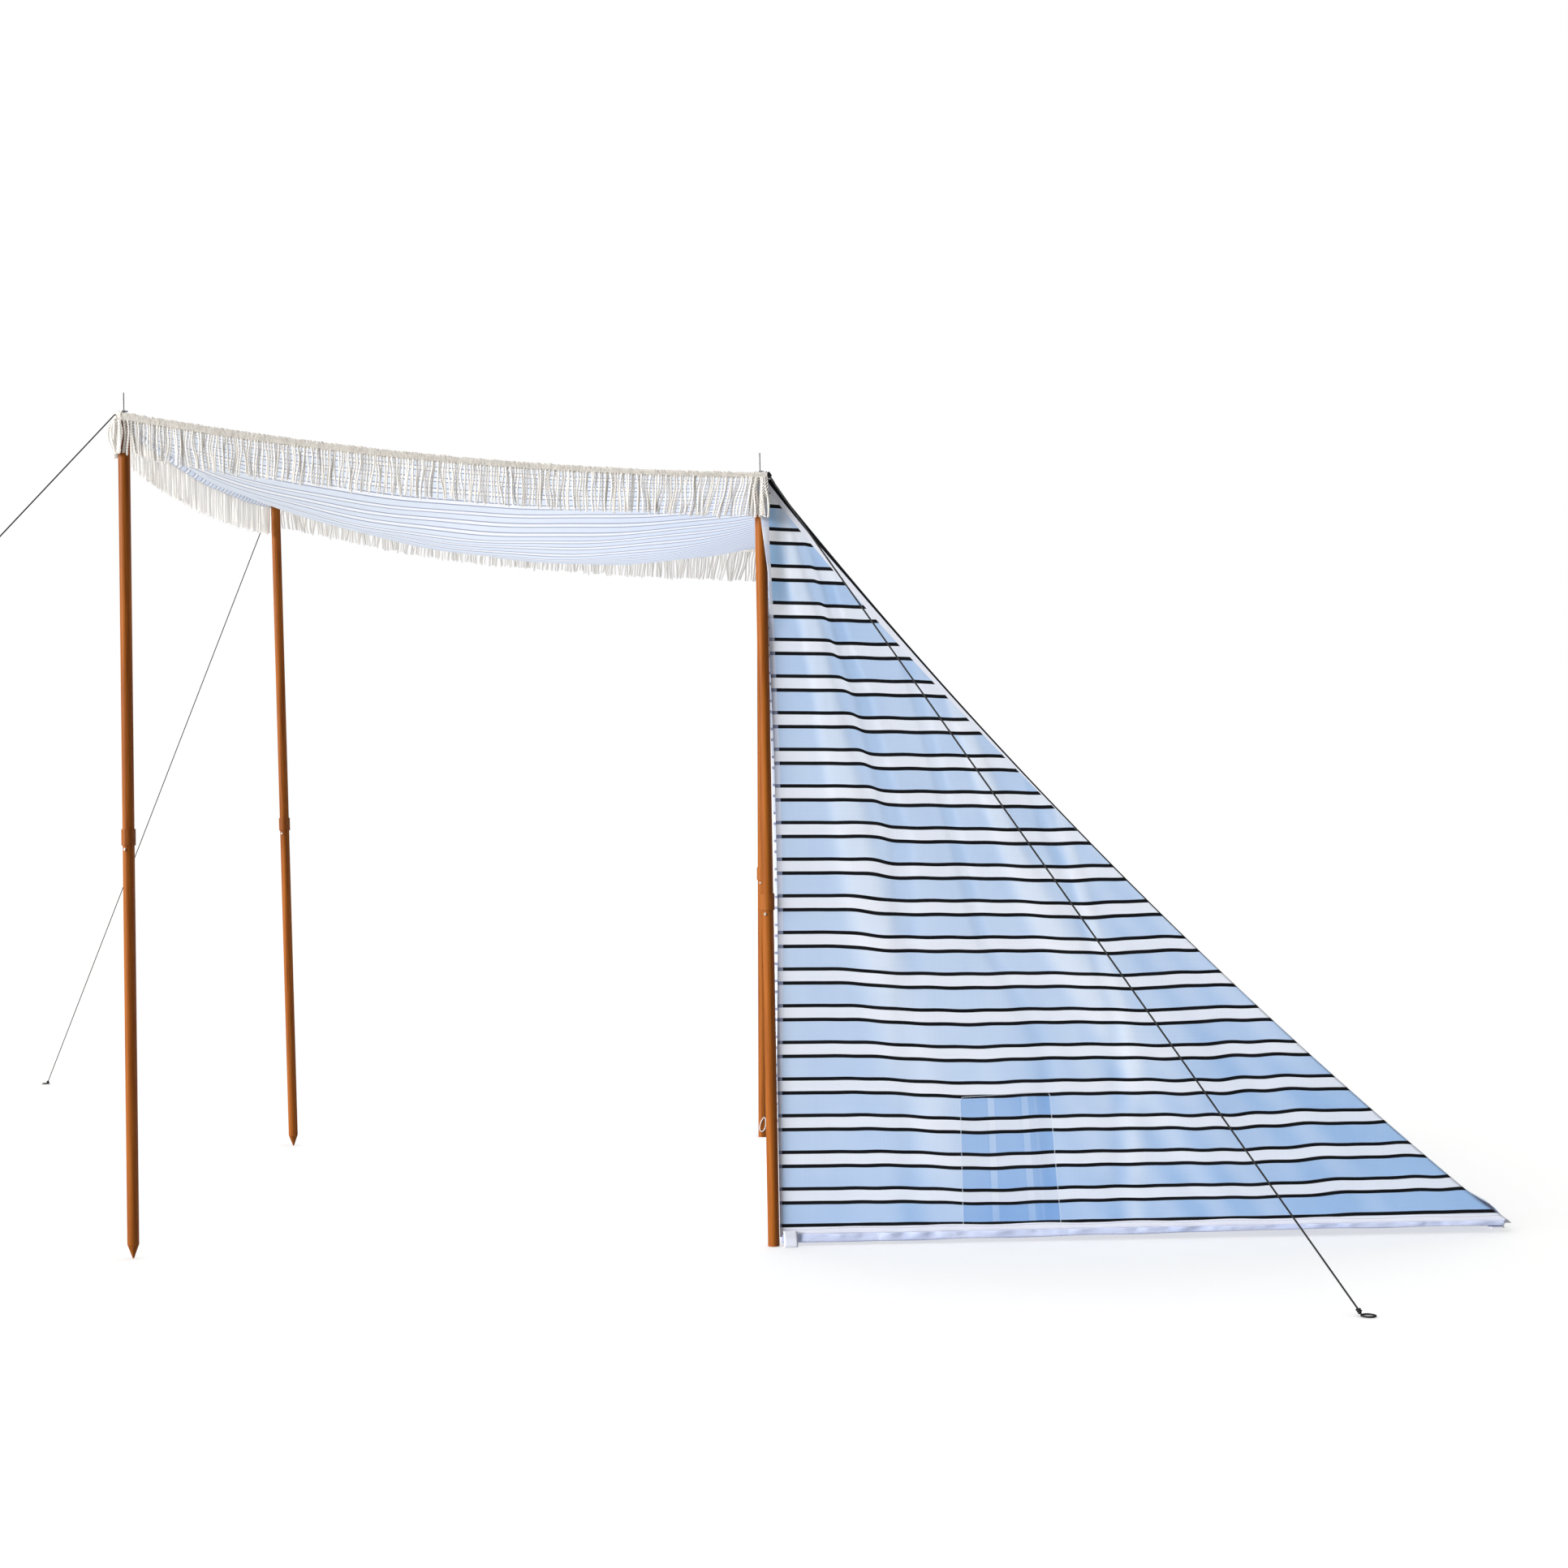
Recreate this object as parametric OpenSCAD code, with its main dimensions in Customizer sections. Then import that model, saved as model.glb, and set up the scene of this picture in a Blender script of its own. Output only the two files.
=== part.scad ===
// Beach tent with a sloping back, two side walls and a sagging fringed
// awning on four wooden poles, held by guy ropes.
// Millimetres, +Z up, front towards -X. The origin is on the ground at the
// middle of the groundsheet. Left is -Y.

/* [Overall] */
// Distance between the left and right poles
tent_w = 1600; // [1500:10:1700]
// Distance from the front poles to the middle poles
awning_l = 1357; // [1257:2:1457]
// Length of the groundsheet under the sloping back
room_l = 1550; // [1450:2:1650]
// Height of the front poles up to their shoulders
front_h = 1796; // [1740:1:1840]
// Height of the middle poles up to their shoulders
middle_h = 1644; // [1580:1:1680]

/* [Poles] */
// Diameter of a pole
pole_d = 25; // [22:0.5:28]
// Diameter of the collar at a pole's joint
collar_d = 30; // [28.5:0.5:34]
// Length of the collar
collar_l = 35; // [28:1:45]
// Height of the joint in a front pole
front_joint_z = 900; // [800:5:1000]
// Height of the joint in a middle pole
middle_joint_z = 737; // [650:1:850]
// Length of the pointed foot of a front pole
tip_l = 30; // [20:1:45]
// Diameter of the pin on top of a pole
pin_d = 3; // [2.5:0.1:4]
// Length of the pin that stands out of the pole
pin_l = 54; // [46:1:60]
// Diameter of the lock button below a collar
button_d = 6; // [4:0.5:8]
// How far the left front pole's foot stands ahead of its top
front_left_lean = 12; // [-20:1:30]
// How far the right front pole's foot stands ahead of its top
front_right_lean = -18; // [-30:1:20]
// How far the right middle pole's foot stands ahead of its top
middle_right_lean = 25; // [-4:1:40]

/* [Cloth] */
// Thickness of the roof, wall and floor cloth
cloth_t = 3; // [2:0.5:4]
// How far the roof hangs in its middle below its edges
roof_sag = 102; // [62:5:142]
// How far the left and right roof edges hang
side_sag = 29; // [14:5:59]
// How far the front roof edge hangs
front_sag = 32; // [12:5:72]
// How far the ridge over the middle poles hangs
ridge_sag = 28; // [13:5:63]
// How far the sloping edge of the back bows inwards
slope_sag = 60; // [30:5:90]
// How far the back hangs between its two edges
back_sag = 35; // [10:5:60]
// Overhang of the roof past the pole centres
overhang = 16; // [15:0.5:18]
// Height of the groundsheet's turned-up edge
lip_h = 20; // [14:1:30]

/* [Fringe] */
// Drop of the fringe with its header
fringe_l = 93; // [60:1:120]
// Thickness of the fringe
fringe_t = 5; // [4:0.5:7]

/* [Pockets] */
// Length of an inner pocket
pocket_l = 210; // [150:5:260]
// Height of an inner pocket
pocket_h = 280; // [200:5:320]
// Depth of an inner pocket
pocket_t = 7; // [5:1:12]

/* [Ropes] */
// Diameter of a guy rope
rope_d = 4; // [3:0.5:5]
// Reach of a front rope ahead of its pole
front_rope_x = 1135; // [900:5:1300]
// Reach of a front rope to the side of its pole
front_rope_y = 1555; // [1200:5:1700]
// Reach of a middle rope behind its pole
middle_rope_x = 1080; // [900:5:1200]
// Reach of a middle rope to the side of its pole
middle_rope_y = 785; // [650:5:900]
// Inside radius of the peg loop at a rope's end
peg_loop_r = 9; // [7:0.5:14]

/* [Hidden] */
$fn = 48;

half_w = tent_w / 2;
// The wall cloth starts this far behind the centre of a middle pole
wall_gap = 18;
mid_x = -room_l / 2 - wall_gap;
front_x = mid_x - awning_l;
back_x = room_l / 2;
// Clear height of the roof cloth over a pole's shoulder
roof_lift = 4;
// Rope loops sit this far above a pole's shoulder
loop_lift = 27;
roof_front_x = front_x - overhang;
roof_back_x = mid_x + 14;
roof_half_w = half_w + overhang;
wood = [0.65, 0.37, 0.15];
dark_wood = [0.55, 0.30, 0.12];
steel = [0.75, 0.76, 0.78];
cloth = [0.70, 0.79, 0.91];
cream = [0.92, 0.90, 0.86];
black = [0.06, 0.06, 0.06];

function mix(a, b, t) = a + (b - a) * t;
// Share of the roof's hang at u along it: deepest a little behind the middle
belly_a = 1.12;
belly_b = 0.86;
belly_top = let (m = belly_a / (belly_a + belly_b)) pow(m, belly_a) * pow(1 - m, belly_b);
function belly(u) = u <= 0 || u >= 1 ? 0 : pow(u, belly_a) * pow(1 - u, belly_b) / belly_top;
function roof_z(x, y) =
    let (u = (x - roof_front_x) / (roof_back_x - roof_front_x), v = y / roof_half_w)
    mix(front_h, middle_h, (x - front_x) / awning_l) + roof_lift
    - side_sag * 4 * u * (1 - u)
    - (1 - v * v) * (mix(front_sag, ridge_sag, u) + roof_sag * belly(u));

// Sloping edge of the back: a chord bowed inwards
slope_a = [mid_x + 15, middle_h + roof_lift];
slope_b = [back_x + 2, lip_h];
slope_n = let (d = slope_b - slope_a) [d[1], -d[0]] / norm(d);
function slope_p(u) = mix(slope_a, slope_b, u) + slope_n * slope_sag * 4 * u * (1 - u);
function back_p(u, v) =
    let (p = slope_p(u), s = (1 - v * v) * (ridge_sag * (1 - u) * (1 - u) + back_sag * 4 * u * (1 - u)))
    [p[0] + slope_n[0] * s * (u < 0.02 ? 0 : 1), v * (half_w - 3), p[1] + (u < 0.02 ? -s : slope_n[1] * s)];

// Closed sheet over a grid of points, thickened by the vector d
module sheet(g, d) {
    nu = len(g);
    nv = len(g[0]);
    n = nu * nv;
    pts = concat([for (r = g) for (p = r) p], [for (r = g) for (p = r) p + d]);
    function k(i, j) = i * nv + j;
    top = [for (i = [0 : nu - 2]) for (j = [0 : nv - 2]) each [
        [n + k(i, j), n + k(i, j + 1), n + k(i + 1, j + 1)],
        [n + k(i, j), n + k(i + 1, j + 1), n + k(i + 1, j)]]];
    under = [for (i = [0 : nu - 2]) for (j = [0 : nv - 2]) each [
        [k(i, j), k(i + 1, j + 1), k(i, j + 1)],
        [k(i, j), k(i + 1, j), k(i + 1, j + 1)]]];
    sides = concat(
        [for (i = [0 : nu - 2]) each let (a = k(i, 0), b = k(i + 1, 0)) [[a, n + a, n + b], [a, n + b, b]]],
        [for (i = [0 : nu - 2]) each let (a = k(i, nv - 1), b = k(i + 1, nv - 1)) [[b, n + b, n + a], [b, n + a, a]]],
        [for (j = [0 : nv - 2]) each let (a = k(0, j), b = k(0, j + 1)) [[b, n + b, n + a], [b, n + a, a]]],
        [for (j = [0 : nv - 2]) each let (a = k(nu - 1, j), b = k(nu - 1, j + 1)) [[a, n + a, n + b], [a, n + b, b]]]);
    polyhedron(pts, concat(top, under, sides));
}

// Round rod from p to q
module rod(p, q, d) {
    v = q - p;
    l = norm(v);
    translate(p) rotate([0, acos(v[2] / l), atan2(v[1], v[0])]) cylinder(h = l, d = d);
}

module ring(r, d) { rotate_extrude() translate([r, 0]) circle(d = d); }

// Poles, drawn upright at the origin
module pole_point(joint_z) {
    cylinder(h = tip_l, d1 = 3, d2 = pole_d);
    translate([0, 0, tip_l]) cylinder(h = joint_z - tip_l, d = pole_d);
}
module pole_stump(joint_z) { translate([0, 0, -2]) cylinder(h = joint_z + 2, d = pole_d); }
module pole_upper(joint_z, h) { translate([0, 0, joint_z]) cylinder(h = h - joint_z, d = pole_d); }
module pole_collar(joint_z) {
    translate([0, 0, joint_z - collar_l / 2]) difference() {
        cylinder(h = collar_l, d = collar_d);
        translate([0, 0, -1]) cylinder(h = collar_l + 2, d = pole_d + 0.3);
    }
}
module pole_pin(h) { translate([0, 0, h]) cylinder(h = pin_l, d = pin_d); }
module pole_button(joint_z, turn) {
    translate([0, 0, joint_z - collar_l / 2 - 8]) rotate([0, 0, turn]) difference() {
        rotate([0, 90, 0]) cylinder(h = pole_d / 2 + 2, d = button_d);
        translate([0, 0, -button_d]) cylinder(h = 2 * button_d, d = pole_d + 0.2);
    }
}

module at_front(s) { translate([front_x, s * half_w, 0]) children(); }
module at_middle(s) { translate([mid_x, s * half_w, 0]) children(); }
// A pole stays where it is at its shoulder and its foot stands ahead by lean
module leaning(h, lean) { translate([0, 0, h]) rotate([0, asin(lean / h), 0]) translate([0, 0, -h]) children(); }
module on_front(s) { at_front(s) leaning(front_h, s < 0 ? front_left_lean : front_right_lean) children(); }
module on_middle(s) { at_middle(s) leaning(middle_h, s < 0 ? 0 : middle_right_lean) children(); }
// The middle poles are cut level with the ground
module middle_lower(s) {
    difference() {
        on_middle(s) pole_stump(middle_joint_z);
        at_middle(s) translate([-100, -100, -50]) cube([200, 200, 50]);
    }
}

module front_left_pole_lower() { color(wood) on_front(-1) pole_point(front_joint_z); }
module front_left_pole_upper() { color(wood) on_front(-1) pole_upper(front_joint_z, front_h); }
module front_left_pole_collar() { color(dark_wood) on_front(-1) pole_collar(front_joint_z); }
module front_left_pole_pin() { color(steel) on_front(-1) pole_pin(front_h); }
module front_right_pole_lower() { color(wood) on_front(1) pole_point(front_joint_z); }
module front_right_pole_upper() { color(wood) on_front(1) pole_upper(front_joint_z, front_h); }
module front_right_pole_collar() { color(dark_wood) on_front(1) pole_collar(front_joint_z); }
module front_right_pole_pin() { color(steel) on_front(1) pole_pin(front_h); }
module middle_left_pole_lower() { color(wood) middle_lower(-1); }
module middle_left_pole_upper() { color(wood) on_middle(-1) pole_upper(middle_joint_z, middle_h); }
module middle_left_pole_collar() { color(dark_wood) on_middle(-1) pole_collar(middle_joint_z); }
module middle_left_pole_pin() { color(steel) on_middle(-1) pole_pin(middle_h); }
module middle_right_pole_lower() { color(wood) middle_lower(1); }
module middle_right_pole_upper() { color(wood) on_middle(1) pole_upper(middle_joint_z, middle_h); }
module middle_right_pole_collar() { color(dark_wood) on_middle(1) pole_collar(middle_joint_z); }
module middle_right_pole_pin() { color(steel) on_middle(1) pole_pin(middle_h); }

// Spring buttons that lock the two halves of each pole
module pole_lock_buttons() {
    color(steel) for (s = [-1, 1]) {
        on_front(s) pole_button(front_joint_z, 245);
        on_middle(s) pole_button(middle_joint_z, 245);
    }
}

// Roof: a hanging sheet with its corners cut off outside the pole pins
module roof_canopy() {
    nx = 18;
    ny = 16;
    g = [for (i = [0 : nx]) [for (j = [0 : ny])
        let (x = mix(roof_front_x, roof_back_x, i / nx), y = mix(-roof_half_w, roof_half_w, j / ny))
        [x, y, roof_z(x, y)]]];
    color(cloth) difference() {
        sheet(g, [0, 0, cloth_t]);
        for (s = [-1, 1]) {
            at_front(s) cylinder(h = 2 * front_h, d = pin_d + 2);
            at_middle(s) cylinder(h = 2 * front_h, d = pin_d + 2);
            at_front(s) rotate([0, 0, s * 135]) translate([13, -50, 0]) cube([100, 100, 2 * front_h]);
            at_middle(s) rotate([0, 0, s * 45]) translate([13, -50, 0]) cube([100, 100, 2 * front_h]);
        }
    }
}

// Back: from the ridge down to the groundsheet's rear edge
module back_panel() {
    nu = 18;
    nv = 14;
    g = [for (i = [0 : nu]) [for (j = [0 : nv]) back_p(i / nu, mix(-1, 1, j / nv))]];
    color(cloth) sheet(g, [-slope_n[0] * cloth_t, 0, -slope_n[1] * cloth_t]);
}

// Side wall: upright three-cornered sheet under the sloping edge
module side_wall(s) {
    n = 20;
    edge = [for (i = [0 : n]) slope_p(i / n) + slope_n * 1.5];
    pts = concat(
        [[mid_x + wall_gap, lip_h]],
        [[mid_x + wall_gap, edge[0][1] - 6]],
        [for (i = [1 : n]) if (edge[i][1] > lip_h + 1) edge[i]],
        [[back_x - 6, lip_h]]);
    translate([0, s * half_w + cloth_t / 2, 0]) rotate([90, 0, 0]) linear_extrude(cloth_t) polygon(pts);
}
module left_side_wall() { color(cloth) side_wall(-1); }
module right_side_wall() { color(cloth) side_wall(1); }

// Groundsheet: a flat sheet with its left, right and rear edges turned up
module groundsheet() {
    o = half_w + cloth_t / 2;
    color(cloth) difference() {
        translate([-room_l / 2, -o, 0]) cube([room_l, 2 * o, lip_h]);
        translate([-room_l / 2 - 1, -o + cloth_t, cloth_t]) cube([room_l - cloth_t + 1, 2 * o - 2 * cloth_t, lip_h]);
    }
}

// Fringe strips just outside the roof's edges, clear of the rope corners
corner_gap = 24;
module side_fringe(s) {
    n = 18;
    xs = [for (i = [0 : n]) mix(roof_front_x + corner_gap, roof_back_x - corner_gap, i / n)];
    upper = [for (x = xs) [x, roof_z(x, roof_half_w) + cloth_t]];
    lower = [for (i = [n : -1 : 0]) [xs[i], roof_z(xs[i], roof_half_w) + cloth_t - fringe_l]];
    y0 = s < 0 ? -roof_half_w : roof_half_w + fringe_t;
    translate([0, y0, 0]) rotate([90, 0, 0]) linear_extrude(fringe_t) polygon(concat(upper, lower));
}
module left_fringe() { color(cream) side_fringe(-1); }
module right_fringe() { color(cream) side_fringe(1); }
module front_fringe() {
    n = 18;
    w = roof_half_w - corner_gap;
    ys = [for (i = [0 : n]) mix(-w, w, i / n)];
    upper = [for (y = ys) [y, roof_z(roof_front_x, y) + cloth_t]];
    lower = [for (i = [n : -1 : 0]) [ys[i], roof_z(roof_front_x, ys[i]) + cloth_t - fringe_l]];
    color(cream) translate([roof_front_x - fringe_t, 0, 0]) rotate([90, 0, 90]) linear_extrude(fringe_t) polygon(concat(upper, lower));
}

// Pockets sewn to the inner faces of the side walls
module inner_pocket(s) {
    y0 = s < 0 ? -half_w + cloth_t / 2 : half_w - cloth_t / 2 - pocket_t;
    translate([mid_x + 400, y0, 45]) cube([pocket_l, pocket_t, pocket_h]);
}
module left_inner_pocket() { color(cloth) inner_pocket(-1); }
module right_inner_pocket() { color(cloth) inner_pocket(1); }

// Taut rope with a loop round the pole pin and a loop for a peg
module guy_rope(top, foot) {
    r = pin_d / 2 + 0.5 + rope_d / 2;
    d = [foot[0] - top[0], foot[1] - top[1], 0];
    e = d / norm(d);
    pr = peg_loop_r + rope_d / 2;
    translate(top) ring(r, 0.8 * rope_d);
    rod(top + e * r, foot - e * pr, rope_d);
    translate(foot) ring(pr, 0.8 * rope_d);
}
module front_rope(s) {
    guy_rope([front_x, s * half_w, front_h + loop_lift],
        [front_x - front_rope_x, s * (half_w + front_rope_y), rope_d / 2]);
}
module middle_rope(s) {
    guy_rope([mid_x, s * half_w, middle_h + loop_lift],
        [mid_x + middle_rope_x, s * (half_w + middle_rope_y), rope_d / 2]);
}
module front_left_guy_rope() { color(black) front_rope(-1); }
module front_right_guy_rope() { color(black) front_rope(1); }
module middle_left_guy_rope() { color(black) middle_rope(-1); }
module middle_right_guy_rope() { color(black) middle_rope(1); }

// Metal eyelets in the roof's corners, round the pole pins
module eyelet(h) {
    translate([0, 0, h + 13]) difference() {
        cylinder(h = 2, d = 18);
        translate([0, 0, -1]) cylinder(h = 4, d = pin_d + 1.5);
    }
}
module canopy_eyelets() {
    color(steel) for (s = [-1, 1]) {
        at_front(s) eyelet(front_h);
        at_middle(s) eyelet(middle_h);
    }
}

// Webbing tabs at the four corners of the groundsheet
module peg_tabs() {
    color(cream) for (s = [-1, 1]) for (x = [-room_l / 2 + 2, room_l / 2 - 32])
        translate([x, s > 0 ? half_w + cloth_t / 2 : -half_w - cloth_t / 2 - 24, 0]) cube([30, 24, 2]);
}

// Cord loops on the inner faces of the middle poles' feet
module pole_foot_loops() {
    color(cream) for (s = [-1, 1])
        on_middle(s) translate([0, -s * (pole_d / 2 + 1.6), 36]) rotate([90, 0, 0]) ring(10, 2.5);
}

front_left_pole_lower();
front_left_pole_upper();
front_left_pole_collar();
front_left_pole_pin();
front_right_pole_lower();
front_right_pole_upper();
front_right_pole_collar();
front_right_pole_pin();
middle_left_pole_lower();
middle_left_pole_upper();
middle_left_pole_collar();
middle_left_pole_pin();
middle_right_pole_lower();
middle_right_pole_upper();
middle_right_pole_collar();
middle_right_pole_pin();
pole_lock_buttons();
roof_canopy();
back_panel();
left_side_wall();
right_side_wall();
groundsheet();
left_fringe();
front_fringe();
right_fringe();
left_inner_pocket();
right_inner_pocket();
front_left_guy_rope();
front_right_guy_rope();
middle_left_guy_rope();
middle_right_guy_rope();
canopy_eyelets();
peg_tabs();
pole_foot_loops();
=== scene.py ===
import bpy, math
import numpy as np
from mathutils import Matrix, Vector


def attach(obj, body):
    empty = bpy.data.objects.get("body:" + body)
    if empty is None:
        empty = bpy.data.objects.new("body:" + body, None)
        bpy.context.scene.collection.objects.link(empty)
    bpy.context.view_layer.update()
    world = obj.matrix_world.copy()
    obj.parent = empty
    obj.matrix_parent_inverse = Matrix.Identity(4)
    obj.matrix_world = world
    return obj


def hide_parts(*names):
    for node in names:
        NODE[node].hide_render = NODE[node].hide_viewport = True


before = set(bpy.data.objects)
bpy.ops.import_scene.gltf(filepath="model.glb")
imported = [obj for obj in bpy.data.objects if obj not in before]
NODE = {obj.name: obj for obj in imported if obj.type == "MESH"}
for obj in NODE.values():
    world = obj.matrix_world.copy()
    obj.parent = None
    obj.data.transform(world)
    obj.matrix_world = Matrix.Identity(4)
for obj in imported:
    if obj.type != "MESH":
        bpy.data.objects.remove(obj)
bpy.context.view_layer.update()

RNG = np.random.default_rng(20)

# ---------------------------------------------------------------- sizes, in metres, as in the part's source
HALF_W = 0.800
MID_X = -0.793
FRONT_X = MID_X - 1.357
BACK_X = 0.775
FRONT_H = 1.796
MID_H = 1.644
LIFT = 0.004
CLOTH = 0.003
OVER = 0.016
ROOF_X0 = FRONT_X - OVER
ROOF_X1 = MID_X + 0.014
ROOF_HW = HALF_W + OVER
ROOF_SAG, SIDE_SAG, FRONT_SAG, RIDGE_SAG = 0.102, 0.029, 0.032, 0.028
BEL_A, BEL_B = 1.12, 0.86
SLOPE_SAG, BACK_SAG = 0.060, 0.035
LIP = 0.020
FRINGE_L = 0.093
WALL_X0 = MID_X + 0.018


def sstep(a, b, x):
    t = np.clip((x - a) / (b - a), 0, 1)
    return t * t * (3 - 2 * t)


def bump1(x, c, w):
    return np.exp(-((x - c) / w) ** 2)


def roof_z(x, y):
    u = np.clip((x - ROOF_X0) / (ROOF_X1 - ROOF_X0), 0, 1)
    v = y / ROOF_HW
    m = BEL_A / (BEL_A + BEL_B)
    bel = u ** BEL_A * (1 - u) ** BEL_B / (m ** BEL_A * (1 - m) ** BEL_B)
    return (FRONT_H + (MID_H - FRONT_H) * (x - FRONT_X) / 1.357 + LIFT - SIDE_SAG * 4 * u * (1 - u)
            - (1 - v * v) * (FRONT_SAG + (RIDGE_SAG - FRONT_SAG) * u + ROOF_SAG * bel))


def roof_cloth_z(x, y):
    """The hanging cloth itself. Its lowest line slants from the near front corner to the far back one."""
    u = np.clip((x - ROOF_X0) / (ROOF_X1 - ROOF_X0), 0, 1)
    v = y / ROOF_HW
    a, b = 0.770, 0.858
    m = a / (a + b)
    bel = u ** a * (1 - u) ** b / (m ** a * (1 - m) ** b)
    e = 0.15 + 0.707 * u
    vv = v - (-0.3405 + 0.467 * u) * (1 - v * v)
    w = (np.sqrt(vv * vv + e * e) - e) / (np.sqrt(1 + e * e) - e)
    return (FRONT_H + (MID_H - FRONT_H) * (x - FRONT_X) / 1.357 + LIFT - SIDE_SAG * 4 * u * (1 - u)
            - (1 - v * v) * (FRONT_SAG + (RIDGE_SAG - FRONT_SAG) * u) - (1 - w) * 0.0973 * bel * (1 + (0.5 + 0.123 * u) * v))


SL_A = np.array([MID_X + 0.015, MID_H + LIFT])
SL_B = np.array([BACK_X + 0.002, LIP])
SL_D = (SL_B - SL_A) / np.linalg.norm(SL_B - SL_A)
SL_N = np.array([SL_D[1], -SL_D[0]])          # points in and down
SL_LEN = float(np.linalg.norm(SL_B - SL_A))


def slope_p(u):
    u = np.asarray(u, float)
    s = SLOPE_SAG * 4 * u * (1 - u)
    return (SL_A[0] + (SL_B[0] - SL_A[0]) * u + SL_N[0] * s, SL_A[1] + (SL_B[1] - SL_A[1]) * u + SL_N[1] * s)


_u = np.linspace(0, 1, 400)
_sx, _sz = slope_p(_u)


def slope_x(z):
    return np.interp(z, _sz[::-1], _sx[::-1])


# ---------------------------------------------------------------- camera, floor, light
CAM_F = 2980.0
c_yaw, c_pitch, c_roll = -0.007657, -0.000847, -0.018078
cy, sy = math.cos(c_yaw), math.sin(c_yaw)
right0, fwd0, up0 = Vector((cy, sy, 0)), Vector((-sy, cy, 0)), Vector((0, 0, 1))
fwd = fwd0 * math.cos(c_pitch) + up0 * math.sin(c_pitch)
up1 = up0 * math.cos(c_pitch) - fwd0 * math.sin(c_pitch)
right = right0 * math.cos(c_roll) + up1 * math.sin(c_roll)
up = up1 * math.cos(c_roll) - right0 * math.sin(c_roll)
cam_data = bpy.data.cameras.new("camera")
cam_data.sensor_fit = "HORIZONTAL"
cam_data.sensor_width = 36.0
cam_data.lens = CAM_F / 1932.0 * 36.0
cam_data.clip_end = 300.0
cam = bpy.data.objects.new("camera", cam_data)
bpy.context.scene.collection.objects.link(cam)
cam.matrix_world = Matrix((
    (right.x, up.x, -fwd.x, MID_X - 0.0001),
    (right.y, up.y, -fwd.y, -5.9791),
    (right.z, up.z, -fwd.z, 0.9928),
    (0, 0, 0, 1)))
bpy.context.scene.camera = cam
bpy.context.scene.view_settings.view_transform = "Standard"


# ---------------------------------------------------------------- node helpers
class Mat:
    def __init__(self, name):
        self.m = bpy.data.materials.new(name)
        self.m.use_nodes = True
        self.t = self.m.node_tree
        self.t.nodes.clear()
        self.out = self.t.nodes.new("ShaderNodeOutputMaterial")
        self.b = self.t.nodes.new("ShaderNodeBsdfPrincipled")
        self.t.links.new(self.b.outputs[0], self.out.inputs[0])

    def node(self, kind, **kw):
        n = self.t.nodes.new(kind)
        for k, v in kw.items():
            setattr(n, k, v)
        return n

    def put(self, sock, v):
        if isinstance(v, bpy.types.NodeSocket):
            self.t.links.new(v, sock)
        elif v is not None:
            if sock.type == "RGBA" and len(v) == 3:
                v = (*v, 1.0)
            sock.default_value = v

    def math(self, op, a, b=None, c=None, clamp=False):
        n = self.node("ShaderNodeMath", operation=op, use_clamp=clamp)
        for i, v in enumerate((a, b, c)):
            if v is not None:
                self.put(n.inputs[i], v)
        return n.outputs[0]

    def mix(self, fac, a, b, blend="MIX"):
        n = self.node("ShaderNodeMix", data_type="RGBA", blend_type=blend)
        self.put(n.inputs[0], fac)
        self.put(n.inputs[6], a)
        self.put(n.inputs[7], b)
        return n.outputs[2]

    def ramp(self, fac, stops, interp="LINEAR"):
        n = self.node("ShaderNodeValToRGB")
        n.color_ramp.interpolation = interp
        el = n.color_ramp.elements
        el[0].position, el[0].color = stops[0][0], (*stops[0][1], 1)
        el[1].position, el[1].color = stops[-1][0], (*stops[-1][1], 1)
        for p, c in stops[1:-1]:
            el.new(p).color = (*c, 1)
        self.put(n.inputs[0], fac)
        return n.outputs[0]

    def maprange(self, v, a, b, c=0.0, d=1.0, smooth=False):
        n = self.node("ShaderNodeMapRange")
        n.interpolation_type = "SMOOTHSTEP" if smooth else "LINEAR"
        self.put(n.inputs[0], v)
        for i, x in enumerate((a, b, c, d)):
            self.put(n.inputs[i + 1], x)
        return n.outputs[0]

    def attr(self, name):
        n = self.node("ShaderNodeAttribute", attribute_name=name)
        return n

    def noise(self, vec, scale, detail=3.0, rough=0.5, dist=0.0):
        n = self.node("ShaderNodeTexNoise")
        if vec is not None:
            self.put(n.inputs["Vector"], vec)
        n.inputs["Scale"].default_value = scale
        n.inputs["Detail"].default_value = detail
        n.inputs["Roughness"].default_value = rough
        n.inputs["Distortion"].default_value = dist
        return n.outputs[0]

    def wave(self, vec, scale, axis="X", dist=0.0, detail=0.0, profile="SIN"):
        n = self.node("ShaderNodeTexWave", wave_type="BANDS", bands_direction=axis, wave_profile=profile)
        self.put(n.inputs["Vector"], vec)
        n.inputs["Scale"].default_value = scale
        n.inputs["Distortion"].default_value = dist
        n.inputs["Detail"].default_value = detail
        return n.outputs["Fac"]

    def mapping(self, vec, scale=(1, 1, 1), rot=(0, 0, 0)):
        n = self.node("ShaderNodeMapping")
        self.put(n.inputs[0], vec)
        n.inputs["Scale"].default_value = scale
        n.inputs["Rotation"].default_value = rot
        return n.outputs[0]

    def coord(self):
        return self.node("ShaderNodeTexCoord").outputs["Object"]

    def bump(self, height, strength=0.5, dist=0.001, normal=None):
        n = self.node("ShaderNodeBump")
        n.inputs["Strength"].default_value = strength
        n.inputs["Distance"].default_value = dist
        self.put(n.inputs["Height"], height)
        if normal is not None:
            self.put(n.inputs["Normal"], normal)
        return n.outputs[0]

    def set(self, **kw):
        for k, v in kw.items():
            self.put(self.b.inputs[k.replace("_", " ")], v)
        return self.m


def lin(r, g, b):
    def f(c):
        c /= 255.0
        return c / 12.92 if c <= 0.04045 else ((c + 0.055) / 1.055) ** 2.4
    return (f(r), f(g), f(b))


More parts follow.
